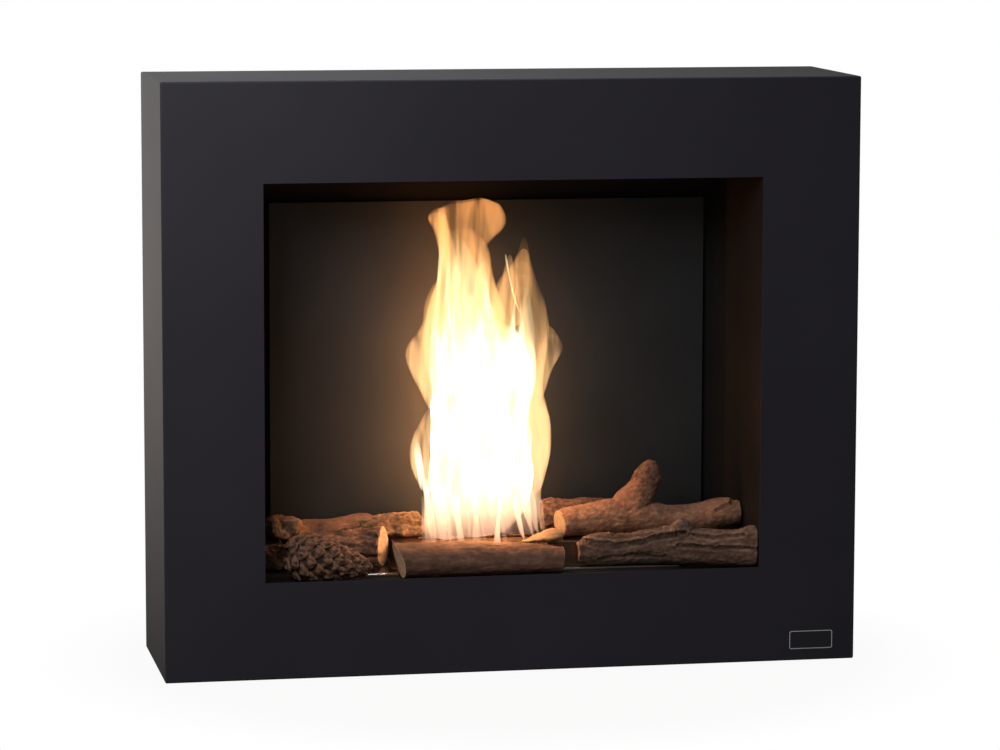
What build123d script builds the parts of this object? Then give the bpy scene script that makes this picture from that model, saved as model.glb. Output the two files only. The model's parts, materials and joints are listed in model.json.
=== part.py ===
"""A wall-hung bioethanol fireplace: folded steel cabinet, firebox, stainless burner and ceramic logs."""

import os
from math import cos, radians, sin

from build123d import *

os.makedirs("parts", exist_ok=True)

# Sizes are in millimetres. X runs to the right, Y from the front face towards the wall and Z up.
# The origin lies under the middle of the cabinet, on the surface that it stands on.

# ---- Cabinet ------------------------------------------------------------------------
cabinet_width = 830.0
cabinet_height = 700.0
cabinet_depth = 220.0
sheet = 1.5  # every folded sheet of the cabinet and the firebox
bend_radius = 2.0  # outside radius of the cabinet's folds
opening_side_border = 118.0
opening_top_border = 118.0
opening_sill = 115.0  # lower edge of the opening above the base
rear_flange = 12.0  # inward fold round the open back

# ---- Firebox ------------------------------------------------------------------------
firebox_air_gap = 21.0  # the firebox's rear wall to the rear panel
sill_step = 5.0  # the front sheet stands this much above the firebox floor
weld_flange = 15.0
fixing_inset = 9.0  # screw line behind the fold of a flange
side_fixing_margin = 41.0  # first and last screws of a row from the firebox's floor and roof
cross_fixing_margin = 67.0  # and from its side walls
liner_side_border = 29.5
liner_top_border = 38.0
liner_foot_gap = 2.0
liner_stand_off = 4.0
liner_stud_radius = 6.0
support_width = 40.0
support_foot = 15.0
support_side_inset = 47.0  # each floor support's middle from the firebox wall
support_front = 20.0
support_rear_gap = 10.0  # behind each floor support, to the firebox's rear wall

# ---- Back of the cabinet ------------------------------------------------------------
rail_recess = 16.0  # the rear panel's face to the wall
panel_edge_gap = 1.0
cleat_leg = 24.0
cleat_end_gap = 60.0
panel_screw_inset = 6.0
panel_screw_margin = 90.0  # first and last screws of a row from the cabinet's ends
vent_slot_length = 60.0
vent_slot_height = 6.0
vent_slots_across = 8
vent_side_margin = 79.0
vent_row_inset = 70.0  # each row of vents from the panel's top or bottom
spacer_radius = 8.0
spacer_bore_radius = 5.0
spacer_side_inset = 77.0  # each spacer from the firebox's side wall
spacer_end_inset = 86.0  # and from its floor or roof

# ---- Hanging rails ------------------------------------------------------------------
rail_sheet = 2.0
rail_side_inset = 185.0  # each end of the rails from the cabinet's side
rail_top_inset = 90.0  # top of the wall rail's lip below the cabinet's top
rail_reach = 9.5  # the wall to the front of the wall rail's lip
rail_lip = 14.0
wall_leg = 36.0
hook_drop = 10.0
hook_overhang = 4.0  # the hook behind the wall rail's lip
hanging_leg = 40.0
wall_screw_inset = 30.0
wall_screw_radius = 3.25
rivet_radius = 2.4
rivet_head_radius = 4.5
rivet_head_height = 1.4
rivet_end_inset = 35.0

# ---- Screws -------------------------------------------------------------------------
screw_radius = 2.0
screw_hole_radius = 2.2
screw_head_radius = 4.0
screw_head_height = 2.4
screw_grip = 5.0

# ---- Hearth tray and burner ---------------------------------------------------------
tray_front = 43.0  # behind the cabinet's front face
tray_side_gap = 82.0
tray_depth = 98.0
tray_height = 4.5
tray_corner = 8.0
tray_edge_radius = 3.0
burner_front = 62.0
burner_width = 70.0
burner_left_margin = 85.0  # the tray's left end to the burner
burner_right_margin = 11.0
burner_rise = 28.5  # burner top above the tray
tank_height = 59.0
burner_corner = 6.0
tank_foot_radius = 2.0
rest_flange = 6.0
cutout_gap = 1.0
top_overhang = 1.0
top_edge_radius = 0.8
mouth_width = 46.0
mouth_corner = 5.0
mouth_left_margin = 34.0  # burner's left end to its mouth
fibre_gap = 0.3
fibre_depth = 42.0

# ---- Regulator slider ---------------------------------------------------------------
slider_sheet = 1.5
slider_side_gap = 0.6
slider_run_gap = 0.2  # slider above its guides
slider_head_gap = 1.1  # slider below the burner top
lid_overlap = 2.0
lid_gap = 1.0
lid_end_gap = 1.5
guide_sheet = 1.2
guide_leg = 6.0
guide_end_gap = 4.5
tongue_width = 12.0
tongue_reach = 12.0  # the tongue's end in front of the burner
tongue_slot_gap = 0.5
knob_radius = 4.5
knob_height = 7.0
knob_edge = 1.0
knob_stem_radius = 1.5
knob_hole_radius = 1.6
knob_rivet_radius = 2.6
knob_rivet_height = 0.8

# ---- Badge plate --------------------------------------------------------------------
badge_width = 53.0
badge_height = 22.0
badge_thickness = 0.3
badge_corner = 2.5
badge_side_inset = 27.0
badge_foot_inset = 14.0

# ---- Logs ---------------------------------------------------------------------------
seat_gap = 0.3  # a log above what it lies on
front_log_radius = 21.7
front_log_overhang = 6.5  # past the burner's left end
forked_log_radius = 22.0
back_right_radius = 19.3
cut_log_radius = 21.5
cut_log_behind_tray = 61.0  # its middle line behind the tray's front edge
back_left_half_height = 27.0
back_left_foot_share = 0.6  # of its half thickness, where it passes the tray's rear edge
back_left_clearance = 1.0  # its foot to that edge
corner_log_radius = 19.5
corner_log_half_height = 17.7
stump_half_width = 19.0
stump_half_height = 13.4
stump_settle = 0.3  # the stump beside the corner log's crown lies this much lower
twig_radius = 7.0
bark_half_height = 14.0
bark_half_thickness = 8.5
plank_half_thickness = 9.5
plank_half_height = 21.0
cone_length = 96.0
cone_radius = 29.0
cone_scale_relief = 0.07  # share of the radius
cone_scales_round = 9

# ---- Levels and planes worked out from them -----------------------------------------
opening_width = cabinet_width - 2 * opening_side_border
opening_height = cabinet_height - opening_sill - opening_top_border
floor_top = opening_sill - sill_step
opening_top = opening_sill + opening_height
firebox_middle = (floor_top + opening_top) / 2
tray_top = floor_top + tray_height
burner_top_level = tray_top + burner_rise
tank_rim = burner_top_level - sheet
tank_bottom = burner_top_level - tank_height
tray_width = opening_width - 2 * tray_side_gap
burner_left = burner_left_margin - tray_width / 2
burner_length = tray_width - burner_left_margin - burner_right_margin
burner_middle_x = burner_left + burner_length / 2
sliding_length = burner_length - mouth_left_margin - lid_gap - lid_end_gap - sheet
mouth_length = sliding_length / 2 - lid_overlap
mouth_left = burner_left + mouth_left_margin
mouth_right = mouth_left + mouth_length
rail_length = cabinet_width - 2 * rail_side_inset
panel_behind_front = cabinet_depth - rail_recess - sheet
firebox_depth = panel_behind_front - sheet - firebox_air_gap
liner_behind_front = firebox_depth - liner_stand_off - sheet
STANDING = (Align.CENTER, Align.CENTER, Align.MIN)


def behind(distance):
    """Y of the plane that lies this far behind the front face."""
    return distance - cabinet_depth / 2


def upright(distance):
    """The plane this far behind the front face: X to the right, Z up, facing the front."""
    return Plane.XZ.offset(-behind(distance))


def keep(piece, name):
    """Label a finished piece and write it."""
    piece.part.label = name
    export_step(piece.part, f"parts/{name}.step")


burner_middle_y = behind(burner_front + burner_width / 2)
tray_middle_y = behind(tray_front + tray_depth / 2)

# ---- Casing: front, sides, top and bottom folded from one sheet, corners welded ------
with BuildPart(Plane.XY.offset(sheet)) as cabinet_space:
    Box(
        cabinet_width - 2 * sheet,
        cabinet_depth - 2 * sheet,
        cabinet_height - 2 * sheet,
        align=STANDING,
    )
    fillet(cabinet_space.edges(), bend_radius - sheet)

with BuildPart() as casing:
    Box(cabinet_width, cabinet_depth, cabinet_height, align=STANDING)
    fillet(casing.edges(), bend_radius)
    add(cabinet_space.part, mode=Mode.SUBTRACT)
    with BuildSketch(upright(0)):
        with Locations((0, opening_sill + opening_height / 2)):
            Rectangle(opening_width, opening_height)
    extrude(amount=-2 * sheet, mode=Mode.SUBTRACT)
    with BuildSketch(upright(cabinet_depth)):
        with Locations((0, cabinet_height / 2)):
            Rectangle(cabinet_width - 2 * rear_flange, cabinet_height - 2 * rear_flange)
    extrude(amount=2 * sheet, mode=Mode.SUBTRACT)
keep(casing, "casing")

# ---- Firebox: five sheets with flanges, screwed together behind the opening ----------
side_fixing_pitch = (opening_top - floor_top - 2 * side_fixing_margin) / 3
cross_fixing_pitch = opening_width / 2 - cross_fixing_margin
side_fixings = [
    (side * (opening_width / 2 + fixing_inset), firebox_middle + step * side_fixing_pitch)
    for side in (-1, 1)
    for step in (-1.5, -0.5, 0.5, 1.5)
]
cross_fixings = [
    (step * cross_fixing_pitch, level)
    for level in (floor_top - fixing_inset, opening_top + fixing_inset)
    for step in (-1, 0, 1)
]


def drill(points, distance, radius):
    """Holes through the sheet whose front lies this far behind the front face."""
    with BuildSketch(upright(distance)) as holes:
        with Locations(*points):
            Circle(radius)
    extrude(holes.sketch, amount=-sheet, mode=Mode.SUBTRACT)


with BuildPart() as firebox_left_wall:
    with BuildSketch(Plane.XY.offset(floor_top)):
        with Locations((-opening_width / 2, behind(sheet))):
            Rectangle(sheet, firebox_depth - sheet, align=(Align.MAX, Align.MIN))
            Rectangle(weld_flange, sheet, align=(Align.MAX, Align.MIN))
        with Locations((-opening_width / 2, behind(firebox_depth))):
            Rectangle(weld_flange, sheet, align=(Align.MAX, Align.MAX))
    extrude(amount=opening_top - floor_top)
    drill(side_fixings[:4], firebox_depth - sheet, screw_hole_radius)
keep(firebox_left_wall, "firebox_left_wall")

with BuildPart() as firebox_right_wall:
    mirror(firebox_left_wall.part, about=Plane.YZ)
keep(firebox_right_wall, "firebox_right_wall")


def flanged_panel(level, side):
    """The firebox's roof, side 1, or floor, side -1: a flat sheet with front and rear flanges."""
    outwards = Align.MIN if side > 0 else Align.MAX
    with BuildSketch(Plane.YZ) as folded:
        with Locations((behind(sheet), level)):
            Rectangle(firebox_depth - sheet, sheet, align=(Align.MIN, outwards))
            Rectangle(sheet, weld_flange, align=(Align.MIN, outwards))
        with Locations((behind(firebox_depth), level)):
            Rectangle(sheet, weld_flange, align=(Align.MAX, outwards))
    extrude(folded.sketch, amount=opening_width / 2 + sheet, both=True)


with BuildPart() as firebox_roof:
    flanged_panel(opening_top, 1)
    drill(cross_fixings[3:], firebox_depth - sheet, screw_hole_radius)
keep(firebox_roof, "firebox_roof")

with BuildPart() as firebox_floor:
    flanged_panel(floor_top, -1)
    drill(cross_fixings[:3], firebox_depth - sheet, screw_hole_radius)
    with BuildSketch(Plane.XY.offset(floor_top)):
        with Locations((burner_middle_x, burner_middle_y)):
            Rectangle(burner_length + 2 * cutout_gap, burner_width + 2 * cutout_gap)
    extrude(amount=-sheet, mode=Mode.SUBTRACT)
keep(firebox_floor, "firebox_floor")

with BuildPart() as firebox_back:
    with BuildSketch(upright(firebox_depth)):
        with Locations((0, firebox_middle)):
            Rectangle(
                opening_width + 2 * weld_flange,
                opening_top - floor_top + 2 * weld_flange,
            )
    extrude(amount=-sheet)
    drill(side_fixings + cross_fixings, firebox_depth, screw_hole_radius)
keep(firebox_back, "firebox_back")


def pan_screws(points, seat):
    """Pan-head screws driven from the rear, heads seated this far behind the front face."""
    with BuildPart() as screws:
        with BuildSketch(upright(seat)):
            with Locations(*points):
                Circle(screw_head_radius)
        extrude(amount=-screw_head_height)
        fillet(screws.edges().group_by(Axis.Y)[-1], screw_head_height / 2)
        with BuildSketch(upright(seat)):
            with Locations(*points):
                Circle(screw_radius)
        extrude(amount=screw_grip)
    return screws


firebox_screws = pan_screws(side_fixings + cross_fixings, firebox_depth + sheet)
keep(firebox_screws, "firebox_screws")

# ---- Liner: a satin plate that stands off the rear wall and throws the heat forward --
liner_width = opening_width - 2 * liner_side_border
liner_foot = floor_top + liner_foot_gap
liner_height = opening_top - liner_top_border - liner_foot

with BuildPart() as back_liner:
    with BuildSketch(upright(liner_behind_front)):
        with Locations((0, liner_foot + liner_height / 2)):
            Rectangle(liner_width, liner_height)
    extrude(amount=-sheet)
keep(back_liner, "back_liner")

with BuildPart() as liner_studs:
    with BuildSketch(upright(liner_behind_front + sheet)):
        with Locations((0, liner_foot + liner_height / 2)):
            with GridLocations(liner_width * 0.4, liner_height * 0.7, 3, 2):
                Circle(liner_stud_radius)
    extrude(amount=-liner_stand_off)
keep(liner_studs, "liner_studs")

# ---- Floor supports: two top-hat brackets on the cabinet's bottom --------------------
support_height = floor_top - 2 * sheet


def floor_support(middle):
    """A folded top-hat bracket under the firebox floor, its middle at this X."""
    with BuildPart() as bracket:
        with BuildSketch(upright(support_front)):
            with Locations((middle, sheet)):
                Rectangle(support_width, support_height, align=(Align.CENTER, Align.MIN))
                Rectangle(
                    support_width + 2 * support_foot,
                    sheet,
                    align=(Align.CENTER, Align.MIN),
                )
                Rectangle(
                    support_width - 2 * sheet,
                    support_height - sheet,
                    align=(Align.CENTER, Align.MIN),
                    mode=Mode.SUBTRACT,
                )
        extrude(amount=support_front + support_rear_gap - firebox_depth)
    return bracket


support_offset = opening_width / 2 - support_side_inset
floor_support_left = floor_support(-support_offset)
keep(floor_support_left, "floor_support_left")
floor_support_right = floor_support(support_offset)
keep(floor_support_right, "floor_support_right")

# ---- Rear panel, its cleats and its screws -------------------------------------------
panel_width = cabinet_width - 2 * rear_flange - 2 * panel_edge_gap
panel_height = cabinet_height - 2 * rear_flange - 2 * panel_edge_gap
panel_screw_x = panel_width / 2 - panel_screw_inset
panel_screw_z = panel_height / 2 - panel_screw_inset
panel_side_pitch = (cabinet_height - 2 * panel_screw_margin) / 4
panel_cross_pitch = cabinet_width / 2 - 2 * panel_screw_margin
panel_screw_points = [
    (side * panel_screw_x, cabinet_height / 2 + step * panel_side_pitch)
    for side in (-1, 1)
    for step in (-2, -1, 0, 1, 2)
] + [
    (step * panel_cross_pitch, cabinet_height / 2 + side * panel_screw_z)
    for side in (-1, 1)
    for step in (-1, 0, 1)
]

with BuildPart() as panel_cleats:
    for side, edge in ((-1, Align.MIN), (1, Align.MAX)):
        with BuildSketch(Plane.XY.offset(cleat_end_gap)):
            with Locations((side * (cabinet_width / 2 - sheet), behind(panel_behind_front))):
                Rectangle(cleat_leg, sheet, align=(edge, Align.MAX))
                Rectangle(sheet, cleat_leg, align=(edge, Align.MAX))
        extrude(amount=cabinet_height - 2 * cleat_end_gap)
    for level, edge in ((sheet, Align.MIN), (cabinet_height - sheet, Align.MAX)):
        with BuildSketch(Plane.YZ):
            with Locations((behind(panel_behind_front), level)):
                Rectangle(sheet, cleat_leg, align=(Align.MAX, edge))
                Rectangle(cleat_leg, sheet, align=(Align.MAX, edge))
        extrude(amount=cabinet_width / 2 - cleat_end_gap, both=True)
    drill(panel_screw_points, panel_behind_front - sheet, screw_hole_radius)
keep(panel_cleats, "panel_cleats")

rail_lip_top = cabinet_height - rail_top_inset
rivet_level = rail_lip_top - hanging_leg / 2
rivet_pitch = (rail_length - 2 * rivet_end_inset) / 3
rivet_points = [(step * rivet_pitch, rivet_level) for step in (-1.5, -0.5, 0.5, 1.5)]
vent_slot_pitch = (cabinet_width - 2 * vent_side_margin) / vent_slots_across

with BuildPart() as rear_panel:
    with BuildSketch(upright(panel_behind_front)):
        with Locations((0, cabinet_height / 2)):
            Rectangle(panel_width, panel_height)
            with GridLocations(
                vent_slot_pitch, panel_height - 2 * vent_row_inset, vent_slots_across, 2
            ):
                SlotOverall(vent_slot_length, vent_slot_height, mode=Mode.SUBTRACT)
    extrude(amount=-sheet)
    drill(panel_screw_points, panel_behind_front, screw_hole_radius)
    drill(rivet_points, panel_behind_front, rivet_radius)
keep(rear_panel, "rear_panel")

rear_panel_screws = pan_screws(panel_screw_points, panel_behind_front + sheet)
keep(rear_panel_screws, "rear_panel_screws")

with BuildPart() as rear_spacers:
    with BuildSketch(upright(firebox_depth + sheet)):
        with Locations((0, firebox_middle)):
            with GridLocations(
                opening_width - 2 * spacer_side_inset,
                opening_top - floor_top - 2 * spacer_end_inset,
                2,
                2,
            ):
                Circle(spacer_radius)
                Circle(spacer_bore_radius, mode=Mode.SUBTRACT)
    extrude(amount=firebox_depth + sheet - panel_behind_front)
keep(rear_spacers, "rear_spacers")

# ---- Hanging rails: the cabinet's rail hooks over the one on the wall -----------------
wall_y = behind(cabinet_depth)
lip_front_y = wall_y - rail_reach
hook_rear_y = lip_front_y + rail_sheet + hook_overhang
panel_rear_y = behind(panel_behind_front + sheet)

with BuildPart() as wall_rail:
    with BuildSketch(Plane.YZ):
        with Locations((wall_y, rail_lip_top - rail_lip + rail_sheet)):
            Rectangle(rail_sheet, wall_leg, align=(Align.MAX, Align.MAX))
            Rectangle(rail_reach, rail_sheet, align=(Align.MAX, Align.MAX))
        with Locations((lip_front_y, rail_lip_top)):
            Rectangle(rail_sheet, rail_lip, align=(Align.MIN, Align.MAX))
    extrude(amount=rail_length / 2, both=True)
    wall_screw_level = rail_lip_top - rail_lip + rail_sheet - wall_leg / 2
    wall_screw_spacing = rail_length - 2 * wall_screw_inset
    with BuildSketch(Plane.XZ.offset(-wall_y)):
        with Locations((-wall_screw_spacing / 2, wall_screw_level)):
            Circle(wall_screw_radius)
        with Locations((wall_screw_spacing / 2, wall_screw_level)):
            Circle(wall_screw_radius)
    extrude(amount=rail_sheet, mode=Mode.SUBTRACT)
keep(wall_rail, "wall_rail")

with BuildPart() as hanging_rail:
    with BuildSketch(Plane.YZ):
        with Locations((panel_rear_y, rail_lip_top + rail_sheet)):
            Rectangle(rail_sheet, hanging_leg, align=(Align.MIN, Align.MAX))
            Rectangle(hook_rear_y - panel_rear_y, rail_sheet, align=(Align.MIN, Align.MAX))
        with Locations((hook_rear_y, rail_lip_top + rail_sheet)):
            Rectangle(rail_sheet, hook_drop + rail_sheet, align=(Align.MAX, Align.MAX))
    extrude(amount=rail_length / 2, both=True)
    with BuildSketch(Plane.XZ.offset(-panel_rear_y)):
        with Locations(*rivet_points):
            Circle(rivet_radius)
    extrude(amount=-rail_sheet, mode=Mode.SUBTRACT)
keep(hanging_rail, "hanging_rail")

with BuildPart() as rail_rivets:
    for seat, outwards in ((behind(panel_behind_front), 1), (panel_rear_y + rail_sheet, -1)):
        with BuildSketch(Plane.XZ.offset(-seat)):
            with Locations(*rivet_points):
                Circle(rivet_head_radius)
        extrude(amount=outwards * rivet_head_height)
    with BuildSketch(upright(panel_behind_front)):
        with Locations(*rivet_points):
            Circle(rivet_radius)
    extrude(amount=-(sheet + rail_sheet))
keep(rail_rivets, "rail_rivets")

# ---- Hearth tray: a shallow stainless tray, face up, that carries the burner ----------
with BuildPart() as hearth_tray:
    with BuildSketch(Plane.XY.offset(floor_top)):
        with Locations((0, tray_middle_y)):
            RectangleRounded(tray_width, tray_depth, tray_corner)
    extrude(amount=tray_height)
    fillet(hearth_tray.edges().group_by(Axis.Z)[-1], tray_edge_radius)
    with BuildSketch(Plane.XY.offset(floor_top)):
        with Locations((0, tray_middle_y)):
            RectangleRounded(tray_width - 2 * sheet, tray_depth - 2 * sheet, tray_corner - sheet)
    extrude(amount=tray_height - sheet, mode=Mode.SUBTRACT)
    with BuildSketch(Plane.XY.offset(floor_top)):
        with Locations((burner_middle_x, burner_middle_y)):
            RectangleRounded(
                burner_length + 2 * cutout_gap,
                burner_width + 2 * cutout_gap,
                burner_corner + cutout_gap,
            )
    extrude(amount=tray_height, mode=Mode.SUBTRACT)
keep(hearth_tray, "hearth_tray")

# ---- Regulator slider: its levels come first, because the tank is cut to suit ---------
slider_top = tank_rim - slider_head_gap
slider_bottom = slider_top - slider_sheet
guide_top = slider_bottom - slider_run_gap
lid_left = mouth_right + lid_gap
lid_length = mouth_length + 2 * lid_overlap
slider_travel = mouth_length + lid_overlap + lid_gap
tongue_x = lid_left + tongue_width / 2
slider_width = burner_width - 2 * sheet - 2 * slider_side_gap


# ---- Burner: welded tank, guides inside its rim, top plate, fibre fill ----------------
def burner_outline(grown):
    """The tank's outline in plan, grown all round by this much."""
    with Locations((burner_middle_x, burner_middle_y)):
        RectangleRounded(
            burner_length + 2 * grown, burner_width + 2 * grown, burner_corner + grown
        )


with BuildPart() as burner_tank:
    with BuildSketch(Plane.XY.offset(tank_bottom)):
        burner_outline(0)
    extrude(amount=tank_rim - tank_bottom)
    fillet(burner_tank.edges().group_by(Axis.Z)[0], tank_foot_radius)
    with BuildSketch(Plane.XY.offset(tray_top)):
        burner_outline(rest_flange)
    extrude(amount=sheet)
    with BuildSketch(Plane.XY.offset(tank_bottom + sheet)):
        burner_outline(-sheet)
    extrude(amount=tank_rim - tank_bottom, mode=Mode.SUBTRACT)
    slot_right = tongue_x + tongue_width / 2 + tongue_slot_gap
    slot_length = tongue_width + slider_travel + 2 * tongue_slot_gap
    with Locations((slot_right, behind(burner_front), guide_top - slider_run_gap)):
        Box(
            slot_length,
            2 * sheet,
            tank_rim,
            align=(Align.MAX, Align.CENTER, Align.MIN),
            mode=Mode.SUBTRACT,
        )
keep(burner_tank, "burner_tank")

with BuildPart() as burner_top:
    with BuildSketch(Plane.XY.offset(tank_rim)):
        burner_outline(top_overhang)
    extrude(amount=sheet)
    fillet(burner_top.edges().group_by(Axis.Z)[-1], top_edge_radius)
    with BuildSketch(Plane.XY.offset(tank_rim)):
        with Locations(((mouth_left + mouth_right) / 2, burner_middle_y)):
            RectangleRounded(mouth_length, mouth_width, mouth_corner)
    extrude(amount=sheet, mode=Mode.SUBTRACT)
keep(burner_top, "burner_top")

with BuildPart() as ceramic_fibre:
    with BuildSketch(Plane.XY.offset(tank_bottom + sheet + fibre_gap)):
        burner_outline(-sheet - fibre_gap)
    extrude(amount=fibre_depth)
keep(ceramic_fibre, "ceramic_fibre")

with BuildPart() as slider_guide_front:
    with BuildSketch(Plane.YZ.offset(burner_left + sheet + guide_end_gap)):
        with Locations((behind(burner_front + sheet), guide_top)):
            Rectangle(guide_leg, guide_sheet, align=(Align.MIN, Align.MAX))
            Rectangle(guide_sheet, guide_leg, align=(Align.MIN, Align.MAX))
    extrude(amount=burner_length - 2 * sheet - 2 * guide_end_gap)
keep(slider_guide_front, "slider_guide_front")

with BuildPart() as slider_guide_rear:
    mirror(slider_guide_front.part, about=Plane.XZ.offset(-burner_middle_y))
keep(slider_guide_rear, "slider_guide_rear")

knob_y = behind(burner_front - tongue_reach) + knob_radius + knob_edge
with BuildPart() as regulator_slider:
    with BuildSketch(Plane.XY.offset(slider_bottom)):
        with Locations((lid_left + lid_length / 2, burner_middle_y)):
            RectangleRounded(lid_length, slider_width, burner_corner - sheet)
        with Locations((tongue_x, behind(burner_front - tongue_reach))):
            Rectangle(
                tongue_width,
                tongue_reach + slider_side_gap + burner_corner,
                align=(Align.CENTER, Align.MIN),
            )
        with Locations((tongue_x, knob_y)):
            Circle(knob_hole_radius, mode=Mode.SUBTRACT)
    extrude(amount=slider_sheet)
keep(regulator_slider, "regulator_slider")

with BuildPart(Plane((tongue_x, knob_y, slider_bottom))) as slider_knob:
    Cylinder(knob_radius, knob_height, align=(Align.CENTER, Align.CENTER, Align.MAX))
    fillet(slider_knob.edges().filter_by(GeomType.CIRCLE), knob_edge)
    Cylinder(knob_stem_radius, slider_sheet, align=STANDING)
    with Locations((0, 0, slider_sheet)):
        Cylinder(knob_rivet_radius, knob_rivet_height, align=STANDING)
keep(slider_knob, "slider_knob")

# ---- Badge plate: bare, at the lower right of the face -------------------------------
with BuildPart() as badge_plate:
    with BuildSketch(upright(0)):
        with Locations(
            (
                cabinet_width / 2 - badge_side_inset - badge_width / 2,
                badge_foot_inset + badge_height / 2,
            )
        ):
            RectangleRounded(badge_width, badge_height, badge_corner)
    extrude(amount=badge_thickness)
keep(badge_plate, "badge_plate")


# ---- Logs: cast ceramic, laid on the floor, the tray, the burner and one another -----
def timber(*stations):
    """Ellipses set square to a bent centre line and lofted from end to end.

    A station is its X, its distance behind the front face, its height, and the ellipse's
    half width and half height.
    """
    centres = [Vector(x, behind(distance), z) for x, distance, z, _, _ in stations]
    with BuildPart() as piece:
        for place, (_, _, _, half_width, half_height) in enumerate(stations):
            ahead = centres[min(place + 1, len(centres) - 1)]
            along = ahead - centres[max(place - 1, 0)]
            level = Vector(0, 0, 1).cross(along)
            if abs(along.Z) > level.length:
                level = Vector(1, 0, 0)
            with BuildSketch(Plane(centres[place], x_dir=level, z_dir=along)):
                Ellipse(half_width, half_height)
        loft()
    return piece.part


def laid(level, *pieces, sawn=()):
    """The pieces joined, sawn off beyond each plane and let down to a seat's gap above the level."""
    with BuildPart() as loose:
        add(pieces)
        for end in sawn:
            split(bisect_by=end, keep=Keep.BOTTOM)
    drop = level + seat_gap - loose.part.bounding_box().min.Z
    with BuildPart() as resting:
        add(loose.part.moved(Location((0, 0, drop))))
    return resting


front_log_depth = sheet + front_log_radius + 1.5
front_log_left = burner_left - front_log_overhang
front_log = laid(
    floor_top,
    timber(
        (front_log_left - 15, front_log_depth, 0, front_log_radius, front_log_radius),
        (front_log_left + 19, front_log_depth + 3, -0.5, front_log_radius - 0.5, front_log_radius - 0.5),
        (front_log_left + 77, front_log_depth + 4, -1, front_log_radius - 1, front_log_radius - 1),
        (front_log_left + 142, front_log_depth + 3, -1.5, front_log_radius - 1.5, front_log_radius - 1.5),
        (front_log_left + 183, front_log_depth + 1, -3.5, front_log_radius - 3.5, front_log_radius - 3.5),
        (front_log_left + 198, front_log_depth + 1, -5, front_log_radius - 5, front_log_radius - 5),
    ),
    sawn=[Plane((front_log_left, 0, 0), z_dir=(-cos(radians(15)), 0, -sin(radians(15))))],
)
keep(front_log, "front_log")

twig_depth = burner_front + twig_radius - top_overhang
twig_tip = mouth_right - 30
twig = laid(
    burner_top_level,
    timber(
        (twig_tip, twig_depth - 3, 0, 1.5, 1.5),
        (twig_tip + 16, twig_depth - 1, 2.5, 4, 4),
        (twig_tip + 32, twig_depth, 5, twig_radius - 0.5, twig_radius - 0.5),
        (twig_tip + 47, twig_depth - 0.5, 5.5, twig_radius, twig_radius),
    ),
)
keep(twig, "twig")

forked_log_depth = burner_front + 30
forked_log_left = mouth_right + 20.5
forked_log_right = opening_width / 2 - 2
forked_log = laid(
    burner_top_level,
    timber(
        (forked_log_left, forked_log_depth - 6, -6, forked_log_radius - 5.7, forked_log_radius - 5.7),
        (forked_log_left + 17.5, forked_log_depth - 2, -4, forked_log_radius - 4, forked_log_radius - 4),
        (forked_log_left + 49.5, forked_log_depth, -1.5, forked_log_radius - 3, forked_log_radius - 1),
        (forked_log_left + 89.5, forked_log_depth, -0.5, forked_log_radius - 3, forked_log_radius - 0.5),
        (forked_log_left + 129.5, forked_log_depth, -4.5, forked_log_radius - 4, forked_log_radius - 4),
        (forked_log_left + 169.5, forked_log_depth, -4, forked_log_radius - 4, forked_log_radius - 4.5),
        (forked_log_left + 209.5, forked_log_depth, 1, forked_log_radius - 4.5, forked_log_radius - 4.5),
        (forked_log_right, forked_log_depth, 0, forked_log_radius - 8, forked_log_radius - 8),
    ),
    timber(
        (forked_log_left + 87.5, forked_log_depth, 6, 21.5, 15),
        (forked_log_left + 97.5, forked_log_depth, 27.5, 20, 15.5),
        (forked_log_left + 106.5, forked_log_depth, 41, 18.5, 14.5),
        (forked_log_left + 111.5, forked_log_depth, 54, 15, 12.5),
        (forked_log_left + 114, forked_log_depth, 62, 10.5, 9),
        (forked_log_left + 115.5, forked_log_depth, 67.5, 4.5, 4),
    ),
)
keep(forked_log, "forked_log")

back_right_depth = burner_front + burner_width - 1
back_right_end = mouth_right + 7
back_right_log = laid(
    burner_top_level,
    timber(
        (back_right_end, back_right_depth, -2, back_right_radius - 2, back_right_radius - 2),
        (back_right_end + 38, back_right_depth, 0, back_right_radius, back_right_radius),
        (back_right_end + 88, back_right_depth, 0, back_right_radius - 1, back_right_radius - 0.5),
        (back_right_end + 123, back_right_depth, -3.5, back_right_radius - 3.5, back_right_radius - 4),
        (back_right_end + 149, back_right_depth, -6.5, back_right_radius - 7, back_right_radius - 7.5),
    ),
)
keep(back_right_log, "back_right_log")

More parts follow.
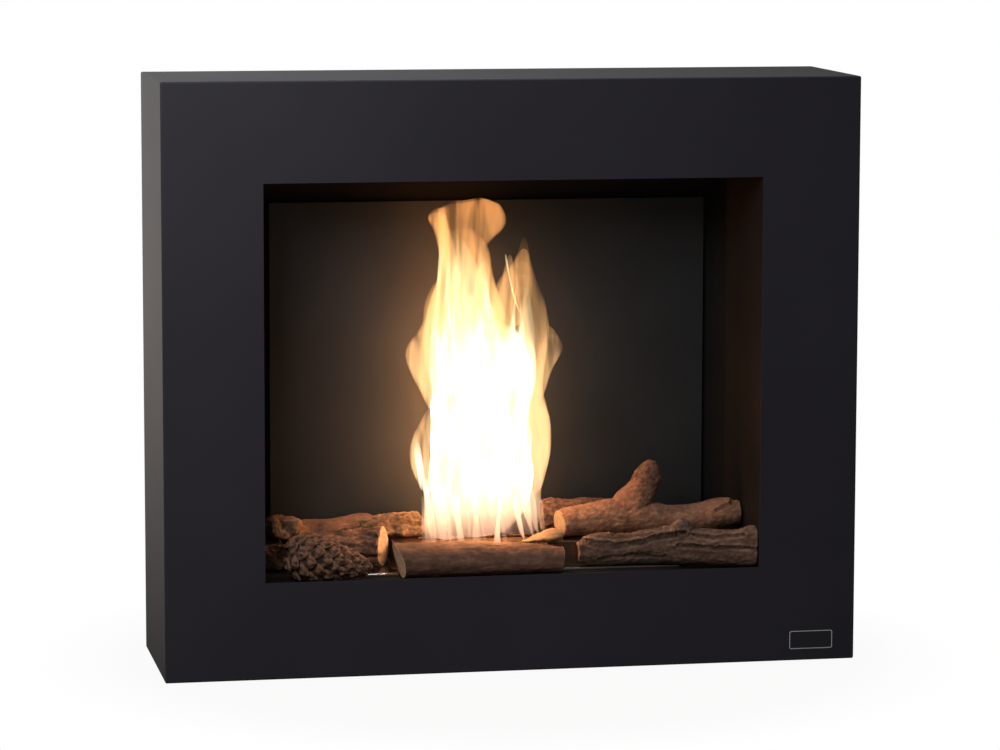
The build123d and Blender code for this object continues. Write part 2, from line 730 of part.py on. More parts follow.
driftwood_depth = burner_front - plank_half_thickness - 2
driftwood_left = mouth_right + 36
driftwood_end = opening_width / 2 - 1
driftwood = laid(
    tray_top,
    timber(
        (driftwood_left, driftwood_depth, -4, 6, plank_half_height - 9),
        (driftwood_left + 10, driftwood_depth, -3, plank_half_thickness - 1.5, plank_half_height - 4.5),
        (driftwood_left + 44, driftwood_depth - 1, -2, plank_half_thickness, plank_half_height - 2.5),
        (driftwood_left + 86, driftwood_depth - 4, 0, plank_half_thickness, plank_half_height),
        (driftwood_left + 122, driftwood_depth - 9, 2, plank_half_thickness + 0.5, plank_half_height + 2),
        (driftwood_left + 154, driftwood_depth - 17, -1, plank_half_thickness + 0.5, plank_half_height - 1),
        (driftwood_left + 186, driftwood_depth - 27, 0, plank_half_thickness + 0.5, plank_half_height),
        (driftwood_end + 6, driftwood_depth - 38, -1, plank_half_thickness, plank_half_height - 1),
    ),
    timber(
        (driftwood_left + 126, driftwood_depth - 10, 0, 20, 9),
        (driftwood_left + 126, driftwood_depth - 10, 20, 17, 8.5),
        (driftwood_left + 128, driftwood_depth - 10, 29, 11, 6.5),
        (driftwood_left + 129, driftwood_depth - 10, 33, 5, 3),
    ),
    sawn=[Plane((driftwood_end, 0, 0), z_dir=(1, 0, 0))],
)
keep(driftwood, "driftwood")

cut_log_depth = tray_front + cut_log_behind_tray
cut_log_left = -tray_width / 2 - 30
cut_log = laid(
    tray_top,
    timber(
        (cut_log_left, cut_log_depth, -2, cut_log_radius - 3, cut_log_radius - 3),
        (cut_log_left + 30, cut_log_depth, 0, cut_log_radius, cut_log_radius - 1),
        (cut_log_left + 60, cut_log_depth - 1, 0, cut_log_radius, cut_log_radius),
        (cut_log_left + 85, cut_log_depth - 6, 0.5, cut_log_radius, cut_log_radius + 0.5),
        (cut_log_left + 101.5, cut_log_depth - 14.5, 0.5, cut_log_radius, cut_log_radius + 0.5),
    ),
)
keep(cut_log, "cut_log")

# It stands on the firebox floor behind the tray and leans on the liner.
back_left_room = liner_behind_front - tray_front - tray_depth - back_left_clearance
back_left_half_thickness = back_left_room / (1 + back_left_foot_share)
back_left_depth = liner_behind_front - back_left_half_thickness - 2 * seat_gap
back_left_log = laid(
    floor_top,
    timber(
        (cut_log_left + 7, back_left_depth, -2, back_left_half_thickness - 2, back_left_half_height - 2),
        (cut_log_left + 40, back_left_depth, -1, back_left_half_thickness, back_left_half_height - 1),
        (cut_log_left + 73, back_left_depth, 1, back_left_half_thickness, back_left_half_height + 1),
        (cut_log_left + 86, back_left_depth + 3.5, 1.5, back_left_half_thickness - 4, back_left_half_height + 1.5),
        (cut_log_left + 95, back_left_depth + 4, 0.5, back_left_half_thickness - 6, back_left_half_height),
    ),
)
keep(back_left_log, "back_left_log")

bark_depth = burner_front + burner_width - 1
bark_right = mouth_left + 7
bark_slab = laid(
    burner_top_level,
    timber(
        (bark_right - 72, bark_depth, 0, bark_half_thickness - 3, bark_half_height - 4),
        (bark_right - 61, bark_depth, 0, bark_half_thickness, bark_half_height - 0.5),
        (bark_right - 29, bark_depth, 0, bark_half_thickness, bark_half_height),
        (bark_right - 9, bark_depth - 0.5, -1, bark_half_thickness - 1, bark_half_height - 1),
        (bark_right, bark_depth - 0.5, -3, bark_half_thickness - 4, bark_half_height - 6),
    ),
)
keep(bark_slab, "bark_slab")

corner_log_x = -opening_width / 2 + corner_log_radius + 3.5
corner_log = laid(
    floor_top,
    timber(
        (corner_log_x + 1, 98, -1, corner_log_radius - 2, corner_log_half_height - 1),
        (corner_log_x, 112, 0, corner_log_radius, corner_log_half_height),
        (corner_log_x, 150, 0, corner_log_radius, corner_log_half_height - 0.5),
    ),
)
keep(corner_log, "corner_log")

stump_x = corner_log_x + 11
stump = laid(
    floor_top + seat_gap + 2 * corner_log_half_height - stump_settle,
    timber(
        (stump_x, 97, 1, stump_half_width - 3, stump_half_height - 2),
        (stump_x, 106, 0, stump_half_width, stump_half_height),
        (stump_x - 2, 136, 0, stump_half_width - 2, stump_half_height - 1),
    ),
)
keep(stump, "stump")

# ---- Pine cone: rings of scales that swap high and low, so diamonds stand out --------
cone_outline = (0.55, 0.84, 0.97, 1.0, 0.96, 0.89, 0.79, 0.68, 0.56, 0.44, 0.31, 0.17)
cone_base = Vector(-opening_width / 2 + cone_radius + 2, behind(tray_front - 2), floor_top)
cone_yaw = -11.0  # the tip swings this far to the front
cone_dip = -11.0  # and down by this much
cone_axis = Vector(
    cos(radians(cone_dip)) * cos(radians(cone_yaw)),
    cos(radians(cone_dip)) * sin(radians(cone_yaw)),
    sin(radians(cone_dip)),
)
with BuildPart() as cone_shape:
    for ring, share in enumerate(cone_outline):
        ring_centre = cone_base + cone_axis * (cone_length * ring / (len(cone_outline) - 1))
        with BuildSketch(Plane(ring_centre, x_dir=Vector(0, 0, 1), z_dir=cone_axis)):
            corners = []
            for corner in range(2 * cone_scales_round):
                lift = cone_scale_relief if (corner + ring) % 2 else -cone_scale_relief
                reach = cone_radius * share * (1 + lift)
                turn = radians(180 / cone_scales_round * corner)
                corners.append((reach * cos(turn), reach * sin(turn)))
            Polygon(*corners, align=None)
    loft(ruled=True)
pine_cone = laid(floor_top, cone_shape.part)
keep(pine_cone, "pine_cone")

print(f"slider travel {slider_travel:.1f} mm")
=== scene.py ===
import json
import math

import bmesh
import bpy
import numpy
from mathutils import Euler, Matrix, Vector, geometry, noise

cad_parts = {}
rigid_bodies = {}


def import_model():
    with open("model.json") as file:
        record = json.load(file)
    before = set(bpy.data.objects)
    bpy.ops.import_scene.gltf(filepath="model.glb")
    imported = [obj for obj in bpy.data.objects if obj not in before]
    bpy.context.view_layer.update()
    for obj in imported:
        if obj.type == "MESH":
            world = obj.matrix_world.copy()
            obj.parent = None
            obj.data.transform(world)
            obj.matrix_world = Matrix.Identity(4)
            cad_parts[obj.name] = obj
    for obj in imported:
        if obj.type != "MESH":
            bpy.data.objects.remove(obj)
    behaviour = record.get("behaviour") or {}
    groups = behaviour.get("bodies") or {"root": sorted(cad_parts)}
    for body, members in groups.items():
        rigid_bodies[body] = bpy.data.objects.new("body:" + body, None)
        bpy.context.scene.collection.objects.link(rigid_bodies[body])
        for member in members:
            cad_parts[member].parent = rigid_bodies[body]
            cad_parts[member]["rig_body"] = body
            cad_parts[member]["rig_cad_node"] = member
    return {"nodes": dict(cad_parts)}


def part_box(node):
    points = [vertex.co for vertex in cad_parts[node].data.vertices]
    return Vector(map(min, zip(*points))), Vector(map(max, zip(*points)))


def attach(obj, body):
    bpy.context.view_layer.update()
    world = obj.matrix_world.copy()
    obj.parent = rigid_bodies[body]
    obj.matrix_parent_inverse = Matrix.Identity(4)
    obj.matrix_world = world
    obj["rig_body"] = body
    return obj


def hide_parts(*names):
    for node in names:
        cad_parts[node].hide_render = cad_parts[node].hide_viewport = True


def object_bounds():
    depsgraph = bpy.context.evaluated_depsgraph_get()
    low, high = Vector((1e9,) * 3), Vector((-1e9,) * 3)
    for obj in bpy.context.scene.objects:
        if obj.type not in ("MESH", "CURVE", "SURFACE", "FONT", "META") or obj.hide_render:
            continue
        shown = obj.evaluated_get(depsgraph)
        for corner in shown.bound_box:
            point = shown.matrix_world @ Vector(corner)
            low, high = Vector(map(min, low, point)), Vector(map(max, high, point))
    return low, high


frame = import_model()
cad_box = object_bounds()
bpy.ops.object.select_all(action="DESELECT")

# ---- Camera ----
# It stands a good four metres off, to the left of the cabinet and a little above it, as
# the photographer's did, and looks slightly to the right and down.


def new_object(name, data):
    """An object of that data, linked to the scene."""
    made = bpy.data.objects.new(name, data)
    bpy.context.scene.collection.objects.link(made)
    return made


view = bpy.data.cameras.new("camera")
view.sensor_width = 36.0
view.lens = 142.37
view.clip_start = 0.1
view.clip_end = 100.0
camera = new_object("camera", view)
yaw, pitch, roll = math.radians(10.934), math.radians(-7.529), math.radians(0.129)
camera.location = (-0.8902, -4.6194, 0.9608)
turned, tipped = Matrix.Rotation(-yaw, 3, "Z"), Matrix.Rotation(math.pi / 2 + pitch, 3, "X")
camera.rotation_euler = (turned @ tipped @ Matrix.Rotation(roll, 3, "Z")).to_euler()
bpy.context.scene.camera = camera


# ---- Casing ----
# One shell of 1.5 mm steel, folded and welded, with the square opening cut in its face.
# Powder coat, baked on: anthracite, nearly matt, with the fine grain of a textured powder.
def colour(hex_value):
    """An sRGB hex colour as the linear RGBA that a shader takes."""
    channels = [(hex_value >> shift & 255) / 255 for shift in (16, 8, 0)]
    return [c / 12.92 if c <= 0.04045 else ((c + 0.055) / 1.055) ** 2.4 for c in channels] + [1.0]


def add_node(tree, kind, inputs=None, **settings):
    """Adds a shader node. An input takes a value, an output, or a node for its first output in use."""
    node = tree.nodes.new("ShaderNode" + kind)
    for name, value in settings.items():
        setattr(node, name, value)
    for key, value in (inputs or {}).items():
        if isinstance(value, bpy.types.Node):
            value = next(output for output in value.outputs if output.enabled)
        if isinstance(value, bpy.types.NodeSocket):
            tree.links.new(value, node.inputs[key])
        else:
            node.inputs[key].default_value = value
    return node


def new_finish(name):
    """An empty material, its nodes, and the Object coordinates in metres that its patterns read."""
    material = bpy.data.materials.new(name)
    material.use_nodes = True
    tree = material.node_tree
    tree.nodes.clear()
    return material, tree, add_node(tree, "TexCoord").outputs["Object"]


def shades(tree, factor, *stops):
    """A colour ramp from pairs of a place and a hex colour, or of a place and a plain value."""
    ramp = add_node(tree, "ValToRGB", {"Fac": factor})
    while len(ramp.color_ramp.elements) < len(stops):
        ramp.color_ramp.elements.new(0.5)
    for element, (place, value) in zip(ramp.color_ramp.elements, stops):
        element.position = place
        element.color = colour(value) if isinstance(value, int) else (value, value, value, 1.0)
    return ramp.outputs["Color"]


def close_finish(tree, inputs, bump=None, bump_height=0.0001):
    """The shader and the output, with a bump of that real height in metres."""
    shader = add_node(tree, "BsdfPrincipled", inputs)
    if bump is not None:
        relief = add_node(tree, "Bump", {"Height": bump, "Strength": 1.0, "Distance": bump_height})
        tree.links.new(relief.outputs["Normal"], shader.inputs["Normal"])
    add_node(tree, "OutputMaterial", {"Surface": shader})


def dress(piece, *materials):
    """Gives a piece these materials and no others."""
    piece.data.materials.clear()
    for material in materials:
        piece.data.materials.append(material)


def coat(material, *nodes):
    """Gives carried-over CAD nodes their material."""
    for name in nodes:
        dress(frame["nodes"][name], material)


powder_coat, tree, place = new_finish("anthracite powder coat")
# The powder's grain is about 0.3 mm and is drawn at 1.2 mm, so that it shows from here.
grain = add_node(tree, "TexNoise", {"Vector": place, "Scale": 1 / 0.0012, "Detail": 2.0})
# The coat is a trace thicker in places, where it is a shade darker and glossier.
cloud = add_node(tree, "TexNoise", {"Vector": place, "Scale": 1 / 0.22, "Detail": 3.0})
tone = shades(tree, cloud, (0.3, 0x242229), (0.7, 0x28262E))
rough = add_node(tree, "MapRange", {"Value": cloud, "To Min": 0.46, "To Max": 0.54})
close_finish(tree, {"Base Color": tone, "Roughness": rough, "Specular IOR Level": 0.3}, grain, 0.00003)
coat(powder_coat, "casing")

# ---- Firebox ----
# Side walls, floor, roof and rear wall of folded sheet, screwed together through flanges.
# Matt black heat-resistant paint, sprayed: dull, faintly brown where the flame has baked it.
stove_paint, tree, place = new_finish("matt black stove paint")
dust = add_node(tree, "TexNoise", {"Vector": place, "Scale": 1 / 0.0015, "Detail": 2.0})
baked = add_node(tree, "TexNoise", {"Vector": place, "Scale": 1 / 0.09, "Detail": 4.0})
tone = shades(tree, baked, (0.3, 0x100E0D), (0.7, 0x161311))
close_finish(tree, {"Base Color": tone, "Roughness": 0.62, "Specular IOR Level": 0.2}, dust, 0.00004)
coat(stove_paint, "firebox_left_wall", "firebox_right_wall", "firebox_back")
coat(stove_paint, "firebox_roof", "firebox_floor")

# ---- Liner plate ----
# A flat plate on studs, 4 mm in front of the rear wall, which keeps the heat off it.
# Satin enamel: smoother than the walls, so the room's light lies on it as soft patches.
enamel, tree, place = new_finish("satin black enamel")
orange_peel = add_node(tree, "TexNoise", {"Vector": place, "Scale": 1 / 0.002, "Detail": 2.0})
haze = add_node(tree, "TexNoise", {"Vector": place, "Scale": 1 / 0.12, "Detail": 4.0})
tone = shades(tree, haze, (0.3, 0x13161A), (0.7, 0x191D21))
rough = add_node(tree, "MapRange", {"Value": haze, "To Min": 0.50, "To Max": 0.58})
enamelled = {"Base Color": tone, "Roughness": rough, "Specular IOR Level": 0.5}
close_finish(tree, enamelled, orange_peel, 0.00002)
coat(enamel, "back_liner", "liner_studs")

# ---- Brackets, rear panel, spacers and rails ----
# Folded from galvanised sheet and left bare, with the zinc's frosted crystals, about 8 mm
# across, and the cleaner, duller grey of a coat a few years old.
galvanised, tree, place = new_finish("galvanised steel sheet")
crystal = add_node(
    tree, "TexVoronoi", {"Vector": place, "Scale": 1 / 0.008, "Randomness": 1.0}, feature="F1"
).outputs["Color"]
crystal_tone = add_node(tree, "SeparateColor", {"Color": crystal}).outputs["Red"]
frost = add_node(tree, "TexNoise", {"Vector": place, "Scale": 1 / 0.03, "Detail": 5.0})
spangle = add_node(tree, "Mix", {"Factor": 0.45, "A": crystal_tone, "B": frost}, data_type="FLOAT")
tone = shades(tree, spangle, (0.2, 0xA7AAAD), (0.55, 0xB9BBBD), (0.9, 0xCBCDCE))
rough = add_node(tree, "MapRange", {"Value": spangle, "To Min": 0.58, "To Max": 0.38})
close_finish(tree, {"Base Color": tone, "Metallic": 0.9, "Roughness": rough}, frost, 0.00005)
coat(galvanised, "floor_support_left", "floor_support_right", "panel_cleats", "rear_panel")
coat(galvanised, "rear_spacers", "wall_rail", "hanging_rail")

# ---- Screws and rivets ----
# Bright zinc-plated steel, pressed and plated in a barrel, so slightly dulled by knocks.
# The rear panel's pan-head screws show their domed heads and cross recesses.
bright_zinc, tree, place = new_finish("bright zinc plating")
knocks = add_node(tree, "TexNoise", {"Vector": place, "Scale": 1 / 0.001, "Detail": 3.0})
tone = shades(tree, knocks, (0.3, 0xB8BABC), (0.7, 0xCDCFD0))
rough = add_node(tree, "MapRange", {"Value": knocks, "To Min": 0.24, "To Max": 0.36})
close_finish(tree, {"Base Color": tone, "Metallic": 1.0, "Roughness": rough}, knocks, 0.00001)
coat(bright_zinc, "firebox_screws", "rail_rivets")


def in_edit_mode(piece):
    """Goes to edit mode on that piece alone, with all of it selected."""
    bpy.ops.object.select_all(action="DESELECT")
    piece.select_set(True)
    bpy.context.view_layer.objects.active = piece
    bpy.ops.object.mode_set(mode="EDIT")
    bpy.ops.mesh.select_mode(type="FACE")
    bpy.ops.mesh.select_all(action="SELECT")


def out_of_edit_mode():
    bpy.ops.object.mode_set(mode="OBJECT")
    bpy.ops.object.select_all(action="DESELECT")


def select_where(piece, kind, test):
    """In edit mode, selects the edges or the faces of the piece that pass the test, and no others."""
    bpy.ops.mesh.select_mode(type=kind)
    bpy.ops.mesh.select_all(action="DESELECT")
    mesh = bmesh.from_edit_mesh(piece.data)
    for part in mesh.edges if kind == "EDGE" else mesh.faces:
        part.select_set(test(part))
    bmesh.update_edit_mesh(piece.data)


def join(pieces):
    """Joins the pieces into the first of them and leaves it selected."""
    bpy.ops.object.select_all(action="DESELECT")
    for piece in pieces:
        piece.select_set(True)
    bpy.context.view_layer.objects.active = pieces[0]
    bpy.ops.object.join()
    return pieces[0]


low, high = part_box("rear_panel_screws")
head_radius, head_height, shank_radius = 0.004, 0.0024, 0.002
recess_arm, recess_half_width, recess_depth = 0.0021, 0.0021 * 0.22, 0.0011


def in_recess(face):
    """Whether a face of the head's top lies in the cross recess."""
    spot = face.calc_center_median()
    longer, shorter = max(abs(spot.x), abs(spot.y)), min(abs(spot.x), abs(spot.y))
    return face.normal.z > 0.99 and longer < recess_arm and shorter < recess_half_width


# Each screw's middle, from the CAD node's vertices. The screws lie far apart.
middles = []
for vertex in frame["nodes"]["rear_panel_screws"].data.vertices:
    spot = Vector((vertex.co.x, 0.0, vertex.co.z))
    near = next((group for group in middles if (group[0] - spot).length < 3 * head_radius), None)
    if near is None:
        middles.append([spot])
    else:
        near.append(spot)
bpy.ops.mesh.primitive_cylinder_add(
    vertices=24, radius=head_radius, depth=head_height, location=(0, 0, head_height / 2)
)
pan_head = bpy.context.object
bpy.ops.object.transform_apply(location=True, rotation=False, scale=False)
in_edit_mode(pan_head)
select_where(pan_head, "EDGE", lambda edge: all(v.co.z > head_height * 0.9 for v in edge.verts))
bpy.ops.mesh.bevel(offset=head_height * 0.5, segments=4)
for offset in (-recess_arm, -recess_half_width, recess_half_width, recess_arm):
    for across in ((1, 0, 0), (0, 1, 0)):
        select_where(pan_head, "FACE", lambda face: face.normal.z > 0.99)
        bpy.ops.mesh.bisect(plane_co=[offset * a for a in across], plane_no=across)
select_where(pan_head, "FACE", in_recess)
bpy.ops.mesh.extrude_region_move(TRANSFORM_OT_translate={"value": (0, 0, -recess_depth)})
bpy.ops.transform.resize(value=(0.75, 0.75, 1.0), center_override=(0, 0, head_height - recess_depth))
select_where(pan_head, "FACE", lambda face: face.normal.z < -0.99)
bpy.ops.mesh.inset(thickness=head_radius - shank_radius)
shank_length = high.y - low.y - head_height
bpy.ops.mesh.extrude_region_move(TRANSFORM_OT_translate={"value": (0, 0, -shank_length)})
out_of_edit_mode()
screw_mesh = pan_head.data
bpy.data.objects.remove(pan_head)
screws = []
for number, group in enumerate(middles):
    xs, zs = [spot.x for spot in group], [spot.z for spot in group]
    middle = Vector(((min(xs) + max(xs)) / 2, high.y - head_height, (min(zs) + max(zs)) / 2))
    copy = screw_mesh.copy()
    # The head looks to the rear, and each screw stopped at a turn of its own.
    turned = Matrix.Rotation(-math.pi / 2, 4, "X") @ Matrix.Rotation(number * 2.4, 4, "Z")
    copy.transform(Matrix.Translation(middle) @ turned)
    screws.append(new_object("pan_head_screws", copy))
screws = join(screws)
dress(screws, bright_zinc)
bpy.ops.object.shade_smooth_by_angle(angle=math.radians(35))
bpy.ops.object.select_all(action="DESELECT")
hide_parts("rear_panel_screws")
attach(screws, "cabinet")

# ---- Hearth tray ----
# A shallow drip tray under the logs, pressed from 1.2 mm stainless steel with rounded
# corners. Brushed along its length, the lines under 0.2 mm apart and drawn at 0.5 mm.
def brushed(name, pale, dark, roughness):
    """Stainless steel with lines brushed along X."""
    material, tree, place = new_finish(name)
    line = 0.0005
    drawn = add_node(tree, "Mapping", {"Vector": place, "Scale": (1 / 0.06, 1 / line, 1 / line)})
    lines = add_node(tree, "TexNoise", {"Vector": drawn, "Scale": 1.0, "Detail": 3.0})
    wear = add_node(tree, "TexNoise", {"Vector": place, "Scale": 1 / 0.05, "Detail": 4.0})
    mixed = add_node(tree, "Mix", {"Factor": 0.35, "A": lines, "B": wear}, data_type="FLOAT")
    tone = shades(tree, mixed, (0.3, dark), (0.7, pale))
    ends = {"To Min": roughness - 0.08, "To Max": roughness + 0.08}
    rough = add_node(tree, "MapRange", {"Value": mixed, **ends})
    close_finish(tree, {"Base Color": tone, "Metallic": 1.0, "Roughness": rough}, lines, 0.00002)
    return material


coat(brushed("brushed stainless steel", 0xB4B0AB, 0x9C9690, 0.14), "hearth_tray")

# ---- Burner, its guides, slider and knob ----
# A welded stainless tank with a lift-off top plate. The same brushed steel, warmed to a
# pale straw and bronze by the flame.
tinted = brushed("heat-tinted stainless steel", 0xA08472, 0x7E6454, 0.34)
coat(tinted, "burner_tank", "burner_top", "slider_guide_front", "slider_guide_rear")
coat(tinted, "regulator_slider", "slider_knob")

# ---- Ceramic fibre ----
# A felted block that soaks up the fuel: white fibres a few microns thick, drawn as 1 mm
# tufts, with its top scorched tan and grey where the flame stands on it.
felt, tree, place = new_finish("ceramic fibre felt")
tuft = {"Vector": place, "Scale": 1 / 0.001, "Detail": 4.0, "Distortion": 1.5}
tufts = add_node(tree, "TexNoise", tuft)
scorch = add_node(tree, "TexNoise", {"Vector": place, "Scale": 1 / 0.02, "Detail": 4.0})
tone = shades(tree, scorch, (0.35, 0xD9D4CA), (0.6, 0xC9BFAF), (0.8, 0x9C8B78))
close_finish(tree, {"Base Color": tone, "Roughness": 0.95, "Specular IOR Level": 0.2}, tufts, 0.0004)
coat(felt, "ceramic_fibre")

# ---- Badge plate ----
# A small bare aluminium plate, anodised dark and glued on, with rounded corners and a
# thin bright rim left standing round its field.
low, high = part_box("badge_plate")
size = high - low
bpy.ops.mesh.primitive_cube_add(size=1.0, location=(low + high) / 2, scale=size)
badge = bpy.context.object
badge.name = "badge_with_rim"
bpy.ops.object.transform_apply(location=True, rotation=False, scale=True)
corner_radius, rim_width, field_depth = 0.0025, 0.0010, 0.00012
in_edit_mode(badge)
select_where(badge, "EDGE", lambda edge: abs((edge.verts[0].co - edge.verts[1].co).y) > size.y / 2)
bpy.ops.mesh.bevel(offset=corner_radius, segments=6)
select_where(badge, "FACE", lambda face: face.normal.y < -0.9)
bpy.ops.mesh.inset(thickness=rim_width)
bpy.ops.mesh.extrude_region_move(TRANSFORM_OT_translate={"value": (0, field_depth, 0)})
out_of_edit_mode()
anodised, tree, place = new_finish("dark anodised aluminium")
drawn = add_node(tree, "Mapping", {"Vector": place, "Scale": (1 / 0.01, 1.0, 1 / 0.0004)})
satin_lines = add_node(tree, "TexNoise", {"Vector": drawn, "Scale": 1.0})
tone = shades(tree, satin_lines, (0.3, 0x2A292D), (0.7, 0x323136))
close_finish(tree, {"Base Color": tone, "Metallic": 0.4, "Roughness": 0.42}, satin_lines, 0.00001)
bright_edge, tree, place = new_finish("diamond-cut aluminium rim")
cut_lines = add_node(tree, "TexNoise", {"Vector": place, "Scale": 1 / 0.001})
tone = shades(tree, cut_lines, (0.3, 0xB4B4B6), (0.7, 0xC6C6C8))
close_finish(tree, {"Base Color": tone, "Metallic": 0.3, "Roughness": 0.5})
dress(badge, anodised, bright_edge)
for face in badge.data.polygons:
    on_rim = face.normal.y < -0.9 and face.center.y < low.y + field_depth / 2
    face.material_index = 1 if on_rim else 0
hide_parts("badge_plate")
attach(badge, "cabinet")

# ---- Front log ----
# Cast in ceramic from a real branch and stained: brown bark with shallow furrows along
# it, and a paler sawn end at the left. It stands behind the sill, loose.


def cast_copy(node, voxel=0.0013):
    """A copy of a log's CAD solid as one even, fine mesh that relief can be pressed into."""
    piece = frame["nodes"][node].copy()
    piece.data = piece.data.copy()
    piece.name = piece.data.name = f"{node}_cast"
    bpy.context.scene.collection.objects.link(piece)
    piece.parent = None
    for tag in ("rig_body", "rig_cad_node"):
        del piece[tag]
    in_edit_mode(piece)
    bpy.ops.mesh.remove_doubles(threshold=0.00002)
    out_of_edit_mode()
    skin = piece.modifiers.new("even skin", "REMESH")
    skin.mode = "VOXEL"
    skin.voxel_size = voxel * 1
    bpy.ops.object.modifier_apply(modifier=skin.name)
    return piece


def bark_group(piece, along, ends, rim=0.55):
    """Weights the bark, which is all but the sawn ends, whose faces look along the log.

    ends holds 1 for an end that looks the way the log runs, and -1 for the other one. A lower
    rim takes more of the rounded edge into the sawn face.
    """
    group = piece.vertex_groups.new(name="bark")
    along = Vector(along).normalized()
    middle = sum((v.co for v in piece.data.vertices), Vector()) / len(piece.data.vertices)
    reach = max(abs((v.co - middle).dot(along)) for v in piece.data.vertices)
    for vertex in piece.data.vertices:
        facing = vertex.normal.dot(along)
        far = abs((vertex.co - middle).dot(along)) > reach * 0.5
        sawn = far and any(facing * end > rim for end in ends)
        group.add([vertex.index], 0.0 if sawn else 1.0, "REPLACE")


def from_mm(values):
    """A vector in metres from values in mm."""
    return Vector([value / 1000 for value in values])


def press(piece, kind, strength, size, turn=(0, 0, 0), mid=0.5, **settings):
    """Presses a texture into the piece by that many mm, its grain that many mm long along each axis.

    Sawn ends, which bark_group leaves out, stay as they are.
    """
    texture = bpy.data.textures.new(f"{piece.name} {kind.lower()}", kind)
    texture.noise_scale = 1.0
    for key, value in settings.items():
        setattr(texture, key, value)
    guide = new_object(f"{piece.name} grain", None)
    guide.rotation_euler = [math.radians(a) for a in turn]
    guide.scale = from_mm(size)
    bpy.context.view_layer.update()
    relief = piece.modifiers.new("relief", "DISPLACE")
    relief.texture = texture
    relief.texture_coords = "OBJECT"
    relief.texture_coords_object = guide
    relief.strength = strength / 1000
    relief.mid_level = mid
    relief.vertex_group = "bark"
    bpy.context.view_layer.objects.active = piece
    bpy.ops.object.modifier_apply(modifier=relief.name)
    bpy.data.objects.remove(guide)
    bpy.data.textures.remove(texture)


def stain(name, turn, dark, middle, light, streak, furrow, hollows=0.45, shaded_above=None):
    """Matt stained ceramic: darker in the hollows as painted shade, and paler on the ridges as rubbed wear.

    streak is how much of the stain runs along the grain and not in round patches, and furrow the
    width of a furrow in mm. The last argument is a height in mm: above it the piece is darkened as painted
    shade.
    """
    material, tree, place = new_finish(name)
    against = [-math.radians(a) for a in turn]
    run = add_node(tree, "Mapping", {"Vector": place, "Rotation": against}, vector_type="POINT")
    scale = (1000 / 30, 1000 / furrow, 1000 / furrow)
    long_run = add_node(tree, "Mapping", {"Vector": run, "Scale": scale})
    long = {"Vector": long_run, "Scale": 1.0, "Detail": 4.0, "Distortion": 0.4}
    furrows = add_node(tree, "TexNoise", long)
    patch = {"Vector": place, "Scale": 1 / 0.014, "Detail": 5.0, "Roughness": 0.62}
    patches = add_node(tree, "TexNoise", patch)
    grit = add_node(tree, "TexNoise", {"Vector": place, "Scale": 1 / 0.0014, "Detail": 3.0})
    pointed = add_node(tree, "NewGeometry").outputs["Pointiness"]
    # Pointiness darkens the hollows as painted shade and lightens the ridges as rubbed wear.
    hollow_shade_and_ridge_wear = add_node(tree, "MapRange", {"Value": pointed, "From Min": 0.42, "From Max": 0.58})
    mixed = add_node(tree, "Mix", {"Factor": 1 - streak, "A": furrows, "B": patches}, data_type="FLOAT")
    tone = add_node(tree, "Mix", {"Factor": hollows, "A": mixed, "B": hollow_shade_and_ridge_wear}, data_type="FLOAT")
    # Above that height the tone is lowered: a painted shade over the piece's upper part.
    if shaded_above is not None:
        height = add_node(tree, "SeparateXYZ", {0: place}).outputs["Z"]
        start, end = shaded_above / 1000, shaded_above / 1000 + 0.03
        painted_shade_range = {"Value": height, "From Min": start, "From Max": end, "To Max": 0.12}
        soot_and_painted_shade = add_node(tree, "MapRange", painted_shade_range)
        tone = add_node(tree, "Math", {0: tone, 1: soot_and_painted_shade}, operation="SUBTRACT")
    rough_relief = add_node(tree, "Mix", {"Factor": 0.6, "A": furrows, "B": grit}, data_type="FLOAT")
    stains = shades(tree, tone, (0.32, dark), (0.5, middle), (0.68, light))
    matt = {"Base Color": stains, "Roughness": 0.88, "Specular IOR Level": 0.25}
    close_finish(tree, matt, rough_relief, 0.0007)
    return material


def sawn_face(name, centre, along, pale, ring):
    """The cast of a saw cut: growth rings 3 mm apart round the heart, and short radial cracks."""
    material, tree, place = new_finish(name)
    turned = Vector(along).to_track_quat("Z", "Y").to_euler()
    centred = add_node(
        tree, "Mapping", {"Vector": place, "Location": centre, "Rotation": turned}, vector_type="TEXTURE"
    )
    rings = add_node(
        tree,
        "TexWave",
        {"Vector": centred, "Scale": 1 / 0.019, "Distortion": 3.0, "Detail": 2.0, "Detail Scale": 1.5},
        wave_type="RINGS",
        rings_direction="Z",
    ).outputs["Fac"]
    grit = add_node(tree, "TexNoise", {"Vector": place, "Scale": 1 / 0.006, "Detail": 4.0})
    tone = add_node(tree, "Mix", {"Factor": 0.6, "A": rings, "B": grit}, data_type="FLOAT")
    wood = shades(tree, tone, (0.25, ring), (0.7, pale))
    close_finish(tree, {"Base Color": wood, "Roughness": 0.9, "Specular IOR Level": 0.25}, tone, 0.0003)
    return material


def finish_log(piece, slot, bark, *sawn):
    """Stains the log, its sawn ends in their own finish, and puts it in its CAD node's place."""
    dress(piece, bark, *sawn)
    for polygon in piece.data.polygons:
        weights = [group.weight for v in polygon.vertices for group in piece.data.vertices[v].groups]
        polygon.material_index = 1 if sawn and sum(weights) < len(weights) / 2 else 0
    piece.data.shade_smooth()
    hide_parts(piece.name.removesuffix("_cast"))
    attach(piece, "cabinet")


def cast_relief(piece, turn, lumps, furrows, crumble):
    """The relief of the cast, in mm: broad lumps, furrows along the grain and fine crumble."""
    press(piece, "CLOUDS", lumps, (32, 18, 18), turn, noise_depth=1)
    ridges = {"musgrave_type": "RIDGED_MULTIFRACTAL", "octaves": 2.0, "noise_intensity": 0.7}
    press(piece, "MUSGRAVE", -furrows, (30, 5.5, 5.5), turn, 0.2, **ridges)
    press(piece, "CLOUDS", crumble, (6, 4, 4), turn, noise_depth=2)


